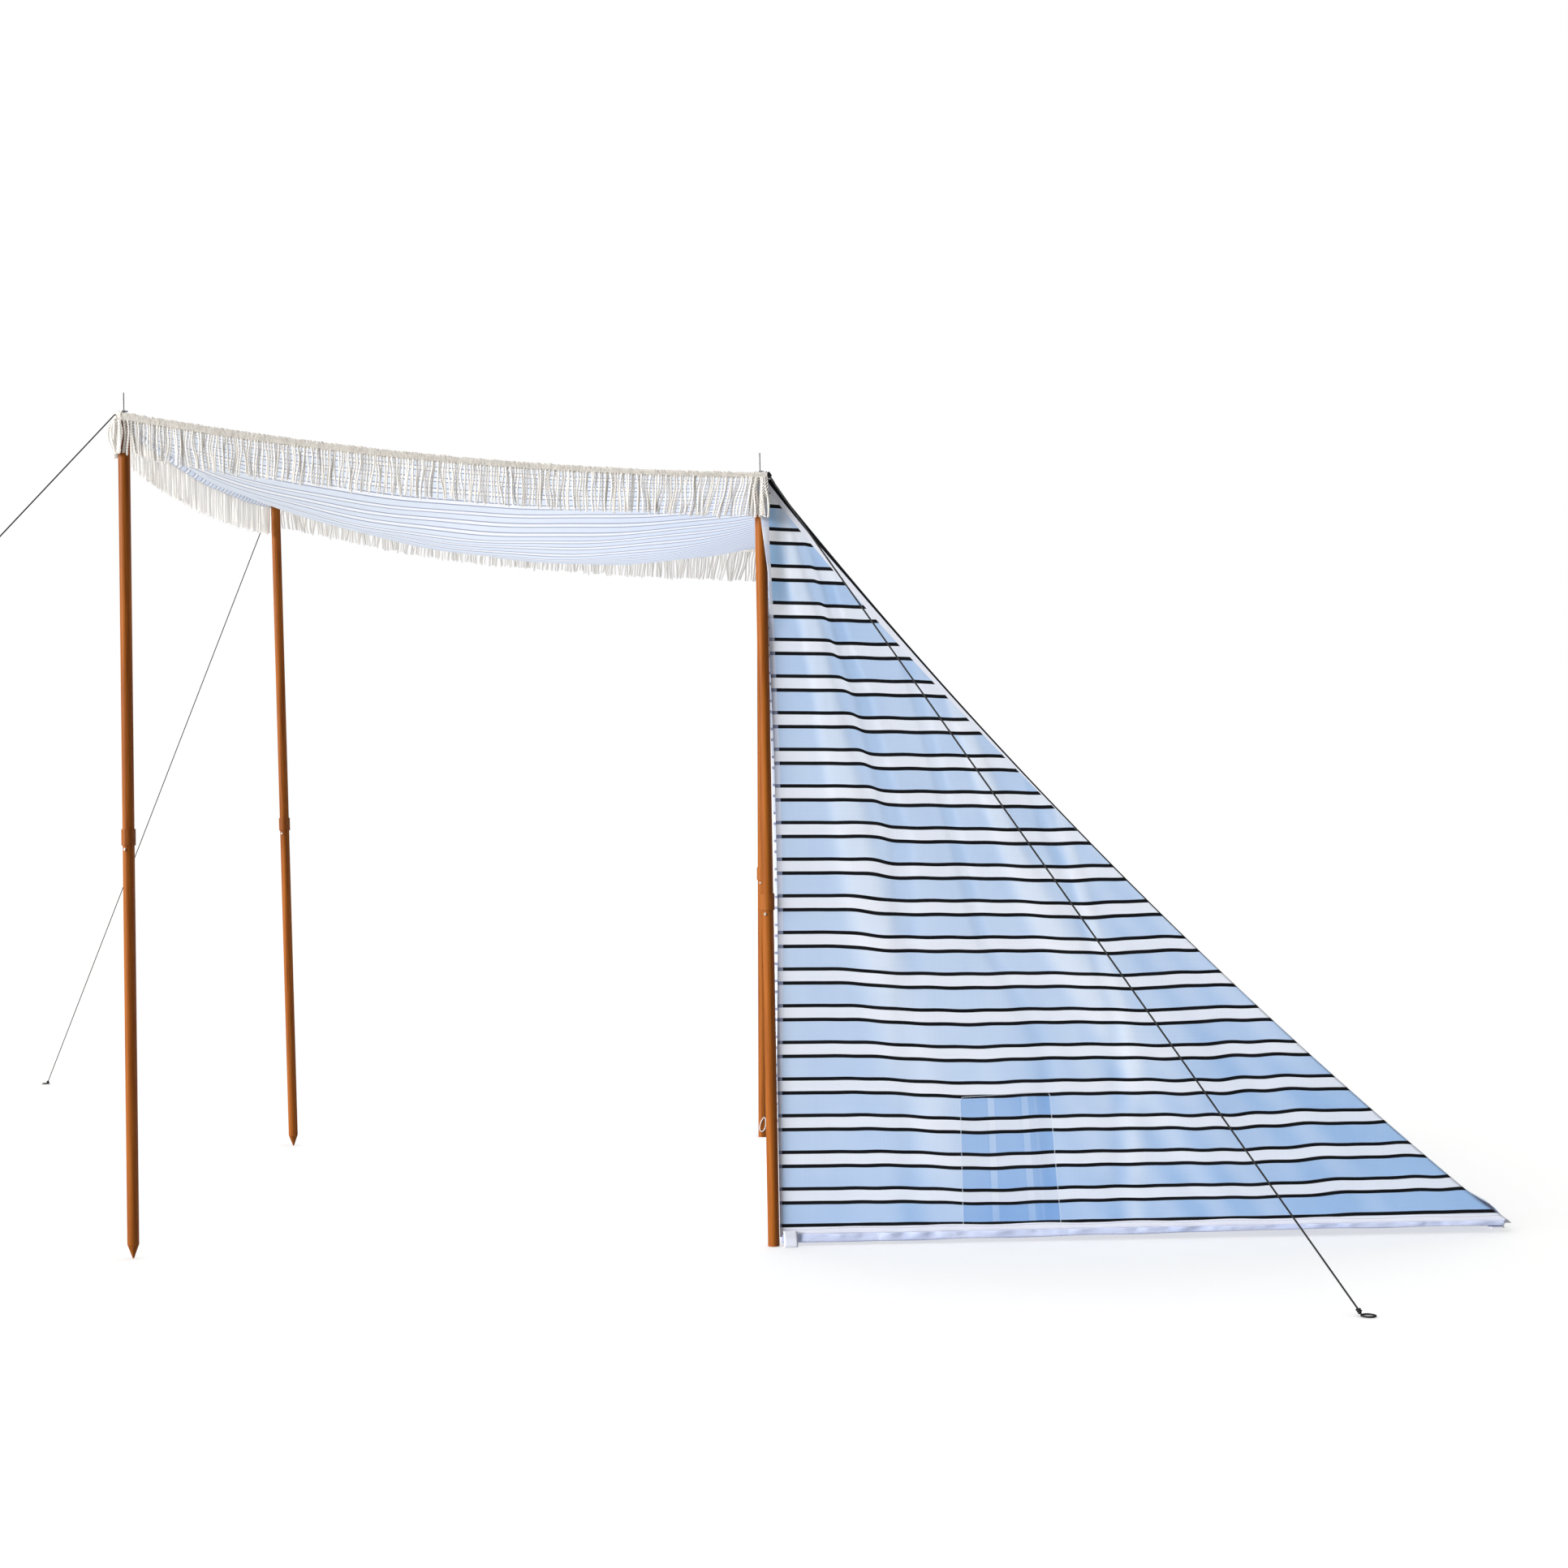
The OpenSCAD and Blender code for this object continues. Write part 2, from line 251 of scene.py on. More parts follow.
# ---------------------------------------------------------------- materials
STRIPE_P = 0.0785            # one blue, one white and two black stripes
BLK = 0.0078
BLUE_W = 0.0409
STRIPE_0 = 0.0425           # height of the lowest black stripe at the front edge


def stripe_masks(k, t, soft=0.0004):
    """Masks of the blue and of the black stripes. t is 0 at the lower edge of a black stripe with blue above it."""
    x = k.math("FRACT", k.math("DIVIDE", t, STRIPE_P))
    e = soft / STRIPE_P
    p1, p2, p3 = BLK / STRIPE_P, (BLK + BLUE_W) / STRIPE_P, (2 * BLK + BLUE_W) / STRIPE_P
    o, w = (0, 0, 0), (1, 1, 1)
    blue = k.ramp(x, [(p1 / 2, o), (p1 / 2 + 0.001, w), ((p2 + p3) / 2 - 0.001, w), ((p2 + p3) / 2, o)])
    black = k.ramp(x, [(0.0, o), (e, w), (p1 - e, w), (p1 + e, o), (p2 - e, o), (p2 + e, w), (p3 - e, w), (p3 + e, o)])
    return blue, black


def cloth_mat(name, blue, white, black, wall=False, rough=0.62, soft=0.0004):
    """blue and white are (deep, pale) pairs. A point attribute of painted light shining through the cloth says how far
    each colour is paled from deep to pale.
    """
    k = Mat(name)
    a = k.attr("cloth")
    sep = k.node("ShaderNodeSeparateXYZ")
    k.put(sep.inputs[0], a.outputs["Vector"])
    s, t, d = sep.outputs
    vec = a.outputs["Vector"]
    bm, km = stripe_masks(k, t, soft)
    # painted light through the cloth, with soft clouds, pales each colour from deep towards pale
    painted_glow = k.attr("painted_glow").outputs["Fac"]
    cloud = k.noise(k.mapping(vec, (5.0, 2.2, 0.0)), 1.0, 3.0, 0.55)
    painted_glow = k.math("ADD", painted_glow, k.maprange(cloud, 0.3, 0.7, -0.12, 0.12), clamp=True)
    cb = k.mix(painted_glow, blue[0], blue[1])
    cw = k.mix(painted_glow, white[0], white[1])
    if wall:
        # painted light: high in the front corner, in the shade of the fringe, the blue and white are made paler and
        # clearer, for light that shines through the cloth there
        up = k.node("ShaderNodeSeparateXYZ")
        k.put(up.inputs[0], k.attr("rim").outputs["Vector"])
        painted_light_nook = k.math("MULTIPLY", k.maprange(up.outputs[2], 1.33, 1.41), k.maprange(s, 0.050, 0.018))
        cb = k.mix(painted_light_nook, cb, lin(174, 214, 254))
        cw = k.mix(painted_light_nook, cw, lin(250, 252, 255))
    col = k.mix(bm, cw, cb)
    if wall:
        es = k.node("ShaderNodeSeparateXYZ")
        k.put(es.inputs[0], k.attr("edge").outputs["Vector"])
        lower, hem, strip = es.outputs
        pq = k.attr("pleat").outputs["Fac"]
        two = [(0.0, 0.86), (0.285, 0.80), (0.298, 1.0), (0.308, 0.22), (0.372, 0.26), (0.380, 0.98), (0.392, 0.82), (0.660, 0.80), (0.672, 1.0), (0.682, 0.34),
               (0.748, 0.30), (0.756, 0.98), (0.768, 0.80), (0.815, 0.80), (0.823, 0.58), (0.843, 0.60), (0.851, 0.84), (1.0, 0.88)]
        pocket = k.ramp(pq, [(q_, (v_,) * 3) for q_, v_ in two])
        pocket = k.math("MULTIPLY", k.math("ADD", pocket, lower, clamp=True), k.maprange(strip, 0.0007, -0.0007))
        # painted shade: where the pocket's two layers of cloth and its pleats hold back the light that shines through
        # the wall, the colour is deeper
        col = k.mix(pocket, col, k.mix(1.0, col, k.mix(bm, (0.90, 0.915, 0.94), (0.58, 0.73, 0.90)), "MULTIPLY"))
    col = k.mix(km, col, black)
    if wall:
        # turned front hem shows the paler reverse
        es2 = k.node("ShaderNodeSeparateXYZ")
        k.put(es2.inputs[0], k.attr("rim").outputs["Vector"])
        tick = k.mix(k.maprange(es2.outputs[2], 1.28, 1.40), lin(120, 128, 154), lin(224, 227, 238))
        rv = k.mix(km, k.mix(bm, lin(228, 231, 242), lin(212, 220, 240)), tick)
        col = k.mix(k.math("LESS_THAN", k.math("SUBTRACT", s, hem), 0.0), col, rv)
        # white edge strip along the slope, black outside it
        col = k.mix(k.maprange(es2.outputs[0], -0.0004, 0.0004), lin(229, 232, 242), col)
        col = k.mix(k.maprange(es2.outputs[1], -0.0004, 0.0004), black, col)
        # white bottom hem with two rows of stitches
        z = es2.outputs[2]
        hm = k.maprange(z, 0.0375, 0.0383)
        col = k.mix(hm, lin(231, 233, 243), col)
        dash = k.math("LESS_THAN", k.math("FRACT", k.math("DIVIDE", s, 0.0042)), 0.62)
        row = k.math("LESS_THAN", k.math("ABSOLUTE", k.math("SUBTRACT", z, 0.0345)), 0.0007)
        row2 = k.math("LESS_THAN", k.math("ABSOLUTE", k.math("SUBTRACT", z, 0.0235)), 0.0007)
        stitch = k.math("MULTIPLY", dash, k.math("MAXIMUM", row, row2))
        col = k.mix(stitch, col, lin(186, 189, 206))
        # stitching round the pocket
        dash2 = k.math("LESS_THAN", k.math("FRACT", k.math("DIVIDE", k.math("ADD", s, t), 0.0046)), 0.6)
        ps = k.math("MULTIPLY", k.math("LESS_THAN", k.math("ABSOLUTE", strip), 0.0011), dash2)
        col = k.mix(k.math("MULTIPLY", ps, 0.6), col, lin(222, 229, 242))
    yarn = k.noise(k.mapping(vec, (3.0, 900.0, 0.0)), 1.0, 2.0, 0.6)
    yarn2 = k.noise(k.mapping(vec, (900.0, 3.0, 0.0)), 1.0, 2.0, 0.6)
    v = k.math("ADD", k.maprange(yarn, 0.3, 0.7, 0.975, 1.02), k.maprange(yarn2, 0.3, 0.7, -0.015, 0.015))
    col = k.mix(1.0, col, v, "MULTIPLY")
    k.put(k.b.inputs["Base Color"], col)
    weave = k.math("MULTIPLY", k.wave(vec, 520.0, "X"), k.wave(vec, 520.0, "Y"))
    crinkle = k.noise(k.mapping(vec, (30.0, 30.0, 0.0)), 1.0, 4.0, 0.6)
    n1 = k.bump(weave, 0.25, 0.0002)
    n2 = k.bump(crinkle, 0.16, 0.0022, n1)
    k.set(Normal=n2, Roughness=rough)
    k.b.inputs["Sheen Weight"].default_value = 0.08
    k.b.inputs["Sheen Roughness"].default_value = 0.4
    k.b.inputs["Specular IOR Level"].default_value = 0.15
    return k.m


BLUE = (lin(152, 185, 226), lin(217, 229, 246))
WHITE = (lin(219, 226, 239), lin(235, 239, 248))
BLACK = lin(3, 5, 11)
R_BLUE = (lin(224, 232, 244), lin(235, 242, 250))
R_WHITE = (lin(246, 249, 253), lin(252, 253, 255))
R_BLACK = lin(150, 158, 182)
m_cloth = cloth_mat("striped_cloth_outside", BLUE, WHITE, BLACK)
m_wall = cloth_mat("striped_wall_outside", BLUE, WHITE, BLACK, wall=True)
m_rev = cloth_mat("striped_cloth_reverse", R_BLUE, R_WHITE, R_BLACK, soft=0.0012)


def groundsheet_mat():
    k = Mat("groundsheet_coated")
    a = k.attr("cloth").outputs["Vector"]
    n = k.noise(k.mapping(a, (6, 6, 0)), 1.0, 5.0, 0.6)
    col = k.ramp(n, [(0.3, lin(188, 199, 231)), (0.55, lin(204, 213, 239)), (0.75, lin(218, 225, 245))])
    k.put(k.b.inputs["Base Color"], col)
    weave = k.math("MULTIPLY", k.wave(a, 330.0, "X"), k.wave(a, 330.0, "Y"))
    cr = k.noise(k.mapping(a, (22, 22, 0)), 1.0, 5.0, 0.65, 0.6)
    nb = k.bump(cr, 0.5, 0.004, k.bump(weave, 0.3, 0.0003))
    k.set(Normal=nb, Roughness=k.maprange(n, 0.3, 0.7, 0.42, 0.58))
    k.b.inputs["Specular IOR Level"].default_value = 0.4
    return k.m


def wood_mat(name, dark=1.0, coat=0.03):
    k = Mat(name)
    o = k.coord()
    grain = k.noise(k.mapping(o, (95, 95, 2.6)), 1.0, 6.0, 0.62, 0.35)
    fine = k.noise(k.mapping(o, (520, 520, 9)), 1.0, 3.0, 0.6)
    broad = k.noise(k.mapping(o, (9, 9, 0.9)), 1.0, 2.0, 0.5)
    f = k.math("ADD", k.math("MULTIPLY", grain, 0.62), k.math("MULTIPLY", fine, 0.24))
    f = k.math("ADD", f, k.math("MULTIPLY", broad, 0.22))
    c = [lin(100, 49, 9), lin(145, 78, 20), lin(163, 92, 28), lin(185, 111, 40)]
    c = [tuple(x * dark for x in q) for q in c]
    col = k.ramp(f, [(0.36, c[0]), (0.50, c[1]), (0.60, c[2]), (0.74, c[3])])
    k.put(k.b.inputs["Base Color"], col)
    k.set(Normal=k.bump(f, 0.22, 0.0006), Roughness=k.maprange(grain, 0.3, 0.7, 0.40, 0.54))
    k.b.inputs["Coat Weight"].default_value = coat
    k.b.inputs["Coat Roughness"].default_value = 0.30
    k.b.inputs["Specular IOR Level"].default_value = 0.14
    return k.m


def metal_mat(name, col, rough=0.32):
    k = Mat(name)
    o = k.coord()
    n = k.noise(k.mapping(o, (900, 900, 40)), 1.0, 4.0, 0.6)
    k.put(k.b.inputs["Base Color"], k.ramp(n, [(0.3, tuple(x * 0.86 for x in col)), (0.7, col)]))
    k.set(Roughness=k.maprange(n, 0.25, 0.75, rough - 0.08, rough + 0.1), Normal=k.bump(n, 0.15, 0.0002))
    k.b.inputs["Metallic"].default_value = 1.0
    return k.m


def fringe_mat():
    k = Mat("fringe_cotton_twist")
    a = k.attr("tone").outputs["Fac"]
    o = k.coord()
    n = k.noise(k.mapping(o, (700, 700, 500)), 1.0, 3.0, 0.6)
    f = k.math("ADD", a, k.maprange(n, 0.3, 0.7, -0.10, 0.10))
    col = k.ramp(f, [(0.0, lin(193, 187, 179)), (0.30, lin(217, 212, 204)), (0.58, lin(232, 226, 217)), (0.80, lin(244, 239, 231)), (1.0, lin(252, 247, 240))])
    k.put(k.b.inputs["Base Color"], col)
    k.set(Normal=k.bump(n, 0.2, 0.0003), Roughness=0.85)
    k.b.inputs["Sheen Weight"].default_value = 0.2
    k.b.inputs["Subsurface Weight"].default_value = 0.5
    k.b.inputs["Subsurface Radius"].default_value = (1.0, 0.96, 0.90)
    k.b.inputs["Subsurface Scale"].default_value = 0.004
    return k.m


def rope_mat(name, c0, c1, pitch=0.004):
    k = Mat(name)
    a = k.attr("cloth").outputs["Vector"]       # length along the rope, angle round it
    w1 = k.wave(k.mapping(a, (1.0 / pitch * 0.314, 0.5, 0)), 1.0, "DIAGONAL")
    w2 = k.wave(k.mapping(a, (1.0 / pitch * 0.314, -0.5, 0)), 1.0, "DIAGONAL")
    br = k.math("MAXIMUM", w1, w2)
    # painted shade: the braid is darker in its grooves, over the same pattern as its bump
    k.put(k.b.inputs["Base Color"], k.ramp(br, [(0.2, c0), (0.9, c1)]))
    k.set(Normal=k.bump(br, 0.6, 0.0006), Roughness=0.6)
    return k.m


def webbing_mat():
    k = Mat("white_webbing")
    o = k.coord()
    w = k.wave(k.mapping(o, (1, 1, 1)), 170.0, "DIAGONAL")
    n = k.noise(o, 400.0, 3.0)
    # painted shade: the webbing is darker in the grooves of its weave, the same pattern as its bump; the noise varies
    # its tone at random
    col = k.ramp(k.math("ADD", k.math("MULTIPLY", w, 0.6), k.math("MULTIPLY", n, 0.4)), [(0.2, lin(197, 200, 212)), (0.8, lin(228, 231, 241))])
    k.put(k.b.inputs["Base Color"], col)
    k.set(Normal=k.bump(w, 0.4, 0.0006), Roughness=0.8)
    return k.m


m_ground = groundsheet_mat()
m_wood = wood_mat("pole_wood_varnished")
m_collar = wood_mat("collar_wood_varnished", 0.94, 0.12)
m_pin = metal_mat("pin_steel_drawn", (0.26, 0.26, 0.27), 0.5)
m_button = metal_mat("button_steel_worn", (0.30, 0.27, 0.24), 0.46)
m_eyelet = metal_mat("eyelet_steel_plated", (0.70, 0.70, 0.70), 0.28)
m_fringe = fringe_mat()
m_rope = rope_mat("guy_rope_black", lin(3, 3, 4), lin(13, 13, 15))
m_cord = rope_mat("white_cord_braid", lin(196, 194, 188), lin(238, 237, 232), 0.003)
m_web = webbing_mat()


# ---------------------------------------------------------------- mesh helpers
def new_mesh(name, verts, faces, mats, mat_idx=None, attrs=None, smooth=True):
    me = bpy.data.meshes.new(name)
    me.from_pydata(np.asarray(verts).tolist(), [], [tuple(map(int, f)) for f in faces])
    for m in mats:
        me.materials.append(m)
    if mat_idx is not None:
        me.polygons.foreach_set("material_index", np.asarray(mat_idx, np.int32))
    if smooth:
        me.polygons.foreach_set("use_smooth", np.ones(len(me.polygons), bool))
    for an, v in (attrs or {}).items():
        v = np.asarray(v, np.float32)
        if v.ndim == 1:
            me.attributes.new(an, "FLOAT", "POINT").data.foreach_set("value", v)
        else:
            me.attributes.new(an, "FLOAT_VECTOR", "POINT").data.foreach_set("vector", v.ravel())
    me.update()
    ob = bpy.data.objects.new(name, me)
    bpy.context.scene.collection.objects.link(ob)
    return ob


def grid_normals(P):
    du = np.gradient(P, axis=0)
    dv = np.gradient(P, axis=1)
    n = np.cross(du, dv)
    size = np.linalg.norm(n, axis=2, keepdims=True)
    return np.where(size < 1e-10, np.array([0.0, 0.0, 1.0]), n / np.maximum(size, 1e-12))


def shell(name, P, mats, attrs, th=0.0008, flip=False):
    """Closed thin cloth over the grid P. mats = (outside, reverse). The outside is du x dv, or its opposite with flip."""
    nu, nv = P.shape[:2]
    N = grid_normals(P) * (-1 if flip else 1)
    V = np.concatenate([P.reshape(-1, 3), (P - N * th).reshape(-1, 3)])
    n = nu * nv
    idx = np.arange(n).reshape(nu, nv)
    q = np.stack([idx[:-1, :-1], idx[1:, :-1], idx[1:, 1:], idx[:-1, 1:]], -1).reshape(-1, 4)
    if flip:
        q = q[:, ::-1]
    inner = q[:, ::-1] + n
    loop = np.concatenate([idx[:, 0], idx[-1, 1:], idx[-2::-1, -1], idx[0, -2:0:-1]])
    nxt = np.roll(loop, -1)
    rim = np.stack([nxt, loop, loop + n, nxt + n], -1)
    if flip:
        rim = rim[:, ::-1]
    faces = np.concatenate([q, inner, rim])
    mi = np.concatenate([np.zeros(len(q)), np.ones(len(inner)), np.zeros(len(rim))]).astype(int)
    at = {k: np.concatenate([v.reshape(n, -1)] * 2).squeeze() for k, v in attrs.items()}
    return new_mesh(name, V, faces, mats, mi, at)


def tube(path, r, sides=8, close=False, cap=True, taper=None):
    """Vertices, faces and (length, angle) of a tube along path."""
    path = np.asarray(path, float)
    n = len(path)
    tan = np.gradient(path, axis=0)
    if close:
        tan = np.roll(path, -1, 0) - np.roll(path, 1, 0)
    tan /= np.maximum(np.linalg.norm(tan, axis=1, keepdims=True), 1e-12)
    ref = np.array([0.0, 0.0, 1.0]) if abs(tan[0][2]) < 0.9 else np.array([1.0, 0.0, 0.0])
    e1 = np.cross(tan[0], ref)
    e1 /= np.linalg.norm(e1)
    fr = []
    for i in range(n):
        e1 = e1 - tan[i] * np.dot(e1, tan[i])
        e1 /= np.linalg.norm(e1)
        fr.append(e1.copy())
    E1 = np.array(fr)
    E2 = np.cross(tan, E1)
    a = np.linspace(0, 2 * np.pi, sides, endpoint=False)
    rr = np.full(n, r) if taper is None else r * np.asarray(taper)
    V = path[:, None] + rr[:, None, None] * (np.cos(a)[None, :, None] * E1[:, None] + np.sin(a)[None, :, None] * E2[:, None])
    length = np.concatenate([[0], np.cumsum(np.linalg.norm(np.diff(path, axis=0), axis=1))])
    at = np.stack([np.repeat(length, sides), np.tile(a, n) / (2 * np.pi), np.zeros(n * sides)], 1)
    V = V.reshape(-1, 3)
    idx = np.arange(n * sides).reshape(n, sides)
    f = []
    m = n if close else n - 1
    i2 = np.roll(idx, -1, 0) if close else idx[1:]
    i1 = idx if close else idx[:-1]
    F = np.stack([i1, np.roll(i1, -1, 1), np.roll(i2, -1, 1), i2], -1).reshape(-1, 4)
    f = [tuple(x) for x in F]
    if not close and cap:
        f.append(tuple(idx[0][::-1]))
        f.append(tuple(idx[-1]))
    return V, f, at


def join_tubes(name, parts, mat):
    V, F, A, off = [], [], [], 0
    for v, f, a in parts:
        V.append(v)
        A.append(a)
        F += [tuple(int(x) + off for x in q) for q in f]
        off += len(v)
    return new_mesh(name, np.concatenate(V), F, [mat], None, {"cloth": np.concatenate(A)})


def done(ob, slot, *nodes):
    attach(ob, "root")
    if nodes:
        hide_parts(*nodes)
    return ob


# ---------------------------------------------------------------- CAD pieces that stay
for nm, o in NODE.items():
    m = None
    if nm.endswith("_pole_lower") or nm.endswith("_pole_upper"):
        m = m_wood
    elif nm.endswith("_pole_collar"):
        m = m_collar
    elif nm.endswith("_pole_pin"):
        m = m_pin
    elif nm == "pole_lock_buttons":
        m = m_button
    elif nm == "canopy_eyelets":
        m = m_eyelet
    if m is not None:
        o.data.materials.clear()
        o.data.materials.append(m)

# ---------------------------------------------------------------- roof
nx, ny = 150, 120
xs = np.linspace(ROOF_X0, ROOF_X1, nx)
ys = np.linspace(-ROOF_HW, ROOF_HW, ny)
X, Y = np.meshgrid(xs, ys, indexing="ij")
Z = roof_cloth_z(X, Y) + CLOTH
U = (X - ROOF_X0) / (ROOF_X1 - ROOF_X0)
Vv = Y / ROOF_HW
edge_in = (1 - Vv ** 2)
# loose folds that run back from the front edge and die out, and shallow ripples
rip = 0.0035 * np.sin(Y * 62 + 2.0 * np.sin(Y * 9 + 1.0) + U * 3.0) * np.exp(-U * 4.5) * sstep(0, 0.03, U)
rip += 0.0022 * np.sin(Y * 23 + U * 5 + 0.7) * edge_in * np.sin(np.pi * U)
rip += 0.0014 * np.sin(X * 21 + Y * 11) * edge_in
Z = Z + rip * edge_in ** 0.5
P = np.stack([X, Y, Z], -1)
# hem along the front edge, rolled to the inside
hem_n = 10
hq = np.linspace(1, 0, hem_n + 1)[:-1]
H = np.stack([np.stack([np.full(ny, ROOF_X0) + 0.0075 * math.sin(math.pi * h) - 0.0008, ys, Z[0] - 0.0165 * h], -1) for h in hq], 0)
P = np.concatenate([H, P], 0)
S = np.concatenate([np.repeat((-0.020 * hq)[:, None], ny, 1), X - ROOF_X0], 0)
warp = 0.0025 * np.sin(X * 19 + Y * 4) * edge_in * np.exp(-U * 2)
T = Y + warp + 0.8747
T = np.concatenate([np.repeat((ys + warp[0] + 0.8747)[None], hem_n, 0), T], 0)
# painted light through the roof: soft paler and darker patches; the hem, where the cloth is doubled, gets none
G = 0.5 + 0.25 * np.sin(X * 9 + Y * 5) * np.sin(Y * 8 + 1.0)
G = np.concatenate([np.full((hem_n, ny), 0.0), G], 0)
roof = shell("roof_cloth", P, (m_cloth, m_rev), {"cloth": np.stack([S, T, np.zeros_like(S)], -1), "painted_glow": G}, 0.0008)
done(roof, "striped_cloth", "roof_canopy")

# ---------------------------------------------------------------- back
nu, nv = 130, 90
us = np.linspace(0, 1, nu)
vs = np.linspace(-1, 1, nv)
Ug, Vg = np.meshgrid(us, vs, indexing="ij")
px_, pz_ = slope_p(Ug)
s_in = (1 - Vg ** 2) * (RIDGE_SAG * (1 - Ug) ** 2 + BACK_SAG * 4 * Ug * (1 - Ug))
s_in = s_in + (1 - Vg ** 2) * (0.004 * np.sin(Vg * 17 + Ug * 3) * np.sin(np.pi * Ug) + 0.003 * np.sin(Ug * 14 + Vg * 6))
kz = sstep(0.0, 0.06, Ug)
BXp = px_ + SL_N[0] * s_in * kz
BZp = pz_ + (SL_N[1] * kz - (1 - kz)) * s_in
BYp = Vg * (HALF_W - 0.001)
lift_b = 0.003 - 0.0022 * sstep(0.94, 1.0, np.abs(Vg)) + 0.010 * bump1(Ug, 0.981, 0.017) * sstep(0.6, 0.96, np.abs(Vg))
P = np.stack([BXp, BYp, BZp], -1) - np.array([SL_N[0], 0, SL_N[1]]) * lift_b[..., None]
S = Ug * SL_LEN
T = BYp + 0.8747 + 0.004 * np.sin(Ug * 9) * (1 - Vg ** 2)
# painted light through the back: soft paler and darker patches
G = 0.5 + 0.3 * np.sin(Vg * 5 + Ug * 4) * np.sin(Vg * 11 + 0.6)
back = shell("back_cloth", P, (m_cloth, m_rev), {"cloth": np.stack([S, T, np.zeros_like(S)], -1), "painted_glow": G}, 0.0008)
done(back, "striped_cloth", "back_panel")


# ---------------------------------------------------------------- side walls
# Folds start at the top front corner and fan out. s is metres back from the front edge, z metres above the ground.
def fold_line(z, zs, ss):
    return np.interp(z, zs, ss)


def ray(s, z, zs, ss, ws):
    """A fold that runs along (zs, ss) with half-width ws. It has a crisp edge high up and a soft one lower down."""
    x = np.abs((s - np.interp(z, zs, ss)) / np.interp(z, zs, ws))
    return np.exp(-x ** np.interp(z, [0.3, 0.9], [2.0, 4.0]))


RAY_A = ([0.0, 0.20, 0.39, 0.546, 0.703, 0.859, 1.014, 1.092, 1.172, 1.25, 1.328, 1.408, 1.60], [0.40, 0.334, 0.279, 0.248, 0.200, 0.170, 0.144, 0.127, 0.116, 0.100, 0.085, 0.060, 0.02],
         [0.07, 0.062, 0.062, 0.056, 0.045, 0.038, 0.034, 0.031, 0.025, 0.024, 0.023, 0.021, 0.012])
RAY_B = ([0.10, 0.285, 0.39, 0.51, 0.667, 0.84, 1.153, 1.35], [1.00, 0.84, 0.762, 0.678, 0.585, 0.506, 0.39, 0.31], [0.08, 0.065, 0.060, 0.056, 0.042, 0.027, 0.016, 0.012])
RAY_C = ([0.40, 0.63, 0.84, 1.0], [0.76, 0.69, 0.63, 0.59], [0.02, 0.016, 0.013, 0.012])
DARK_A = ([0.40, 0.476, 0.65, 0.93, 1.153, 1.35], [0.57, 0.535, 0.44, 0.37, 0.315, 0.26], [0.02, 0.018, 0.016, 0.015, 0.014, 0.014])
DARK_B = ([0.50, 0.70, 0.89, 1.05], [0.72, 0.65, 0.575, 0.53], [0.018, 0.015, 0.012, 0.012])
DARK_C = ([0.6, 0.87, 1.02, 1.18, 1.26, 1.42, 1.60], [0.28, 0.268, 0.228, 0.192, 0.162, 0.122, 0.06], [0.03, 0.025, 0.020, 0.018, 0.016, 0.014, 0.012])
START = ([0, 0.054, 0.135, 0.293, 0.456, 0.61, 0.74, 0.90, 1.0, 1.15, 1.287, 1.44, 1.6, 1.7], [0.0160, 0.0168, 0.0178, 0.0233, 0.0274, 0.0310, 0.0322, 0.0324, 0.0315, 0.0280, 0.0240, 0.0210, 0.0182, 0.0170])


def stripe_start(z):
    """Where the stripes start behind the turned front hem: the edge bows back from the pole at half height."""
    return MID_X + np.interp(np.clip(MID_H - z, 0, 2), *START)


def wall_front(z):
    """The wall's front edge. It lies over the pole's top and passes behind the pole lower down."""
    h = np.clip(MID_H - z, 0, 2)
    beside = np.maximum(stripe_start(z) - 0.0115, MID_X + 0.0136)
    return np.where(h < 0.204, np.minimum(MID_X - 0.0105 + 0.118 * h, beside), beside)


def front_hem(z):
    return stripe_start(z) - wall_front(z)


def level(s, z):
    """How far a stripe that starts at height z on the front edge has dropped or risen at s."""
    sg = lambda q: 0.5 * (1 + np.tanh(q))
    x1 = np.interp(z, [0.05, 0.2, 0.4, 0.6, 0.66, 0.745, 0.79, 0.87, 0.941, 1.019, 1.096, 1.182, 1.259, 1.337, 1.422, 1.6], [0.36, 0.30, 0.24, 0.19, 0.19, 0.205, 0.222, 0.240, 0.230, 0.206, 0.188, 0.168, 0.140, 0.121, 0.100, 0.06])
    w1 = np.interp(z, [0.0, 0.6, 0.66, 0.79, 0.87, 0.97, 1.18, 1.30, 1.45], [0.09, 0.048, 0.040, 0.028, 0.018, 0.013, 0.009, 0.006, 0.005])
    x2 = 0.45 + (0.95 - z) * 0.70
    g1 = sg((s - x1) / w1) - sg(-x1 / w1)
    g2 = sg((s - x2) / 0.035) * np.clip((1.25 - z) / 0.25, 0, 1)
    dip = np.exp(-((s - x2 - 0.05) / 0.09) ** 2) * np.clip((1.0 - z) / 0.3, 0, 1)
    dip3 = np.exp(-((s - 0.42 - 0.1 * (0.4 - z)) / 0.10) ** 2) * np.clip((0.75 - z) / 0.3, 0, 1)
    return sstep(0.0, 0.11, z) * (g1 * (-0.0028 - 0.0228 * z + 0.0154 * z * z) + g2 * (0.0060 - 0.0053 * z) - dip * (0.0054 + 0.0037 * z) - dip3 * 0.0041
            + s * (-0.0094 + 0.0142 * z - 0.0224 * z * z) + s * s * (0.0091 - 0.0277 * z)
            + 0.0011 * np.sin(s * 52 + z * 17 + 1.5 * np.sin(s * 13)) * sstep(0.65, 1.0, s) + 0.0006 * np.sin(s * 67 + z * 31) * sstep(0.05, 0.2, s))


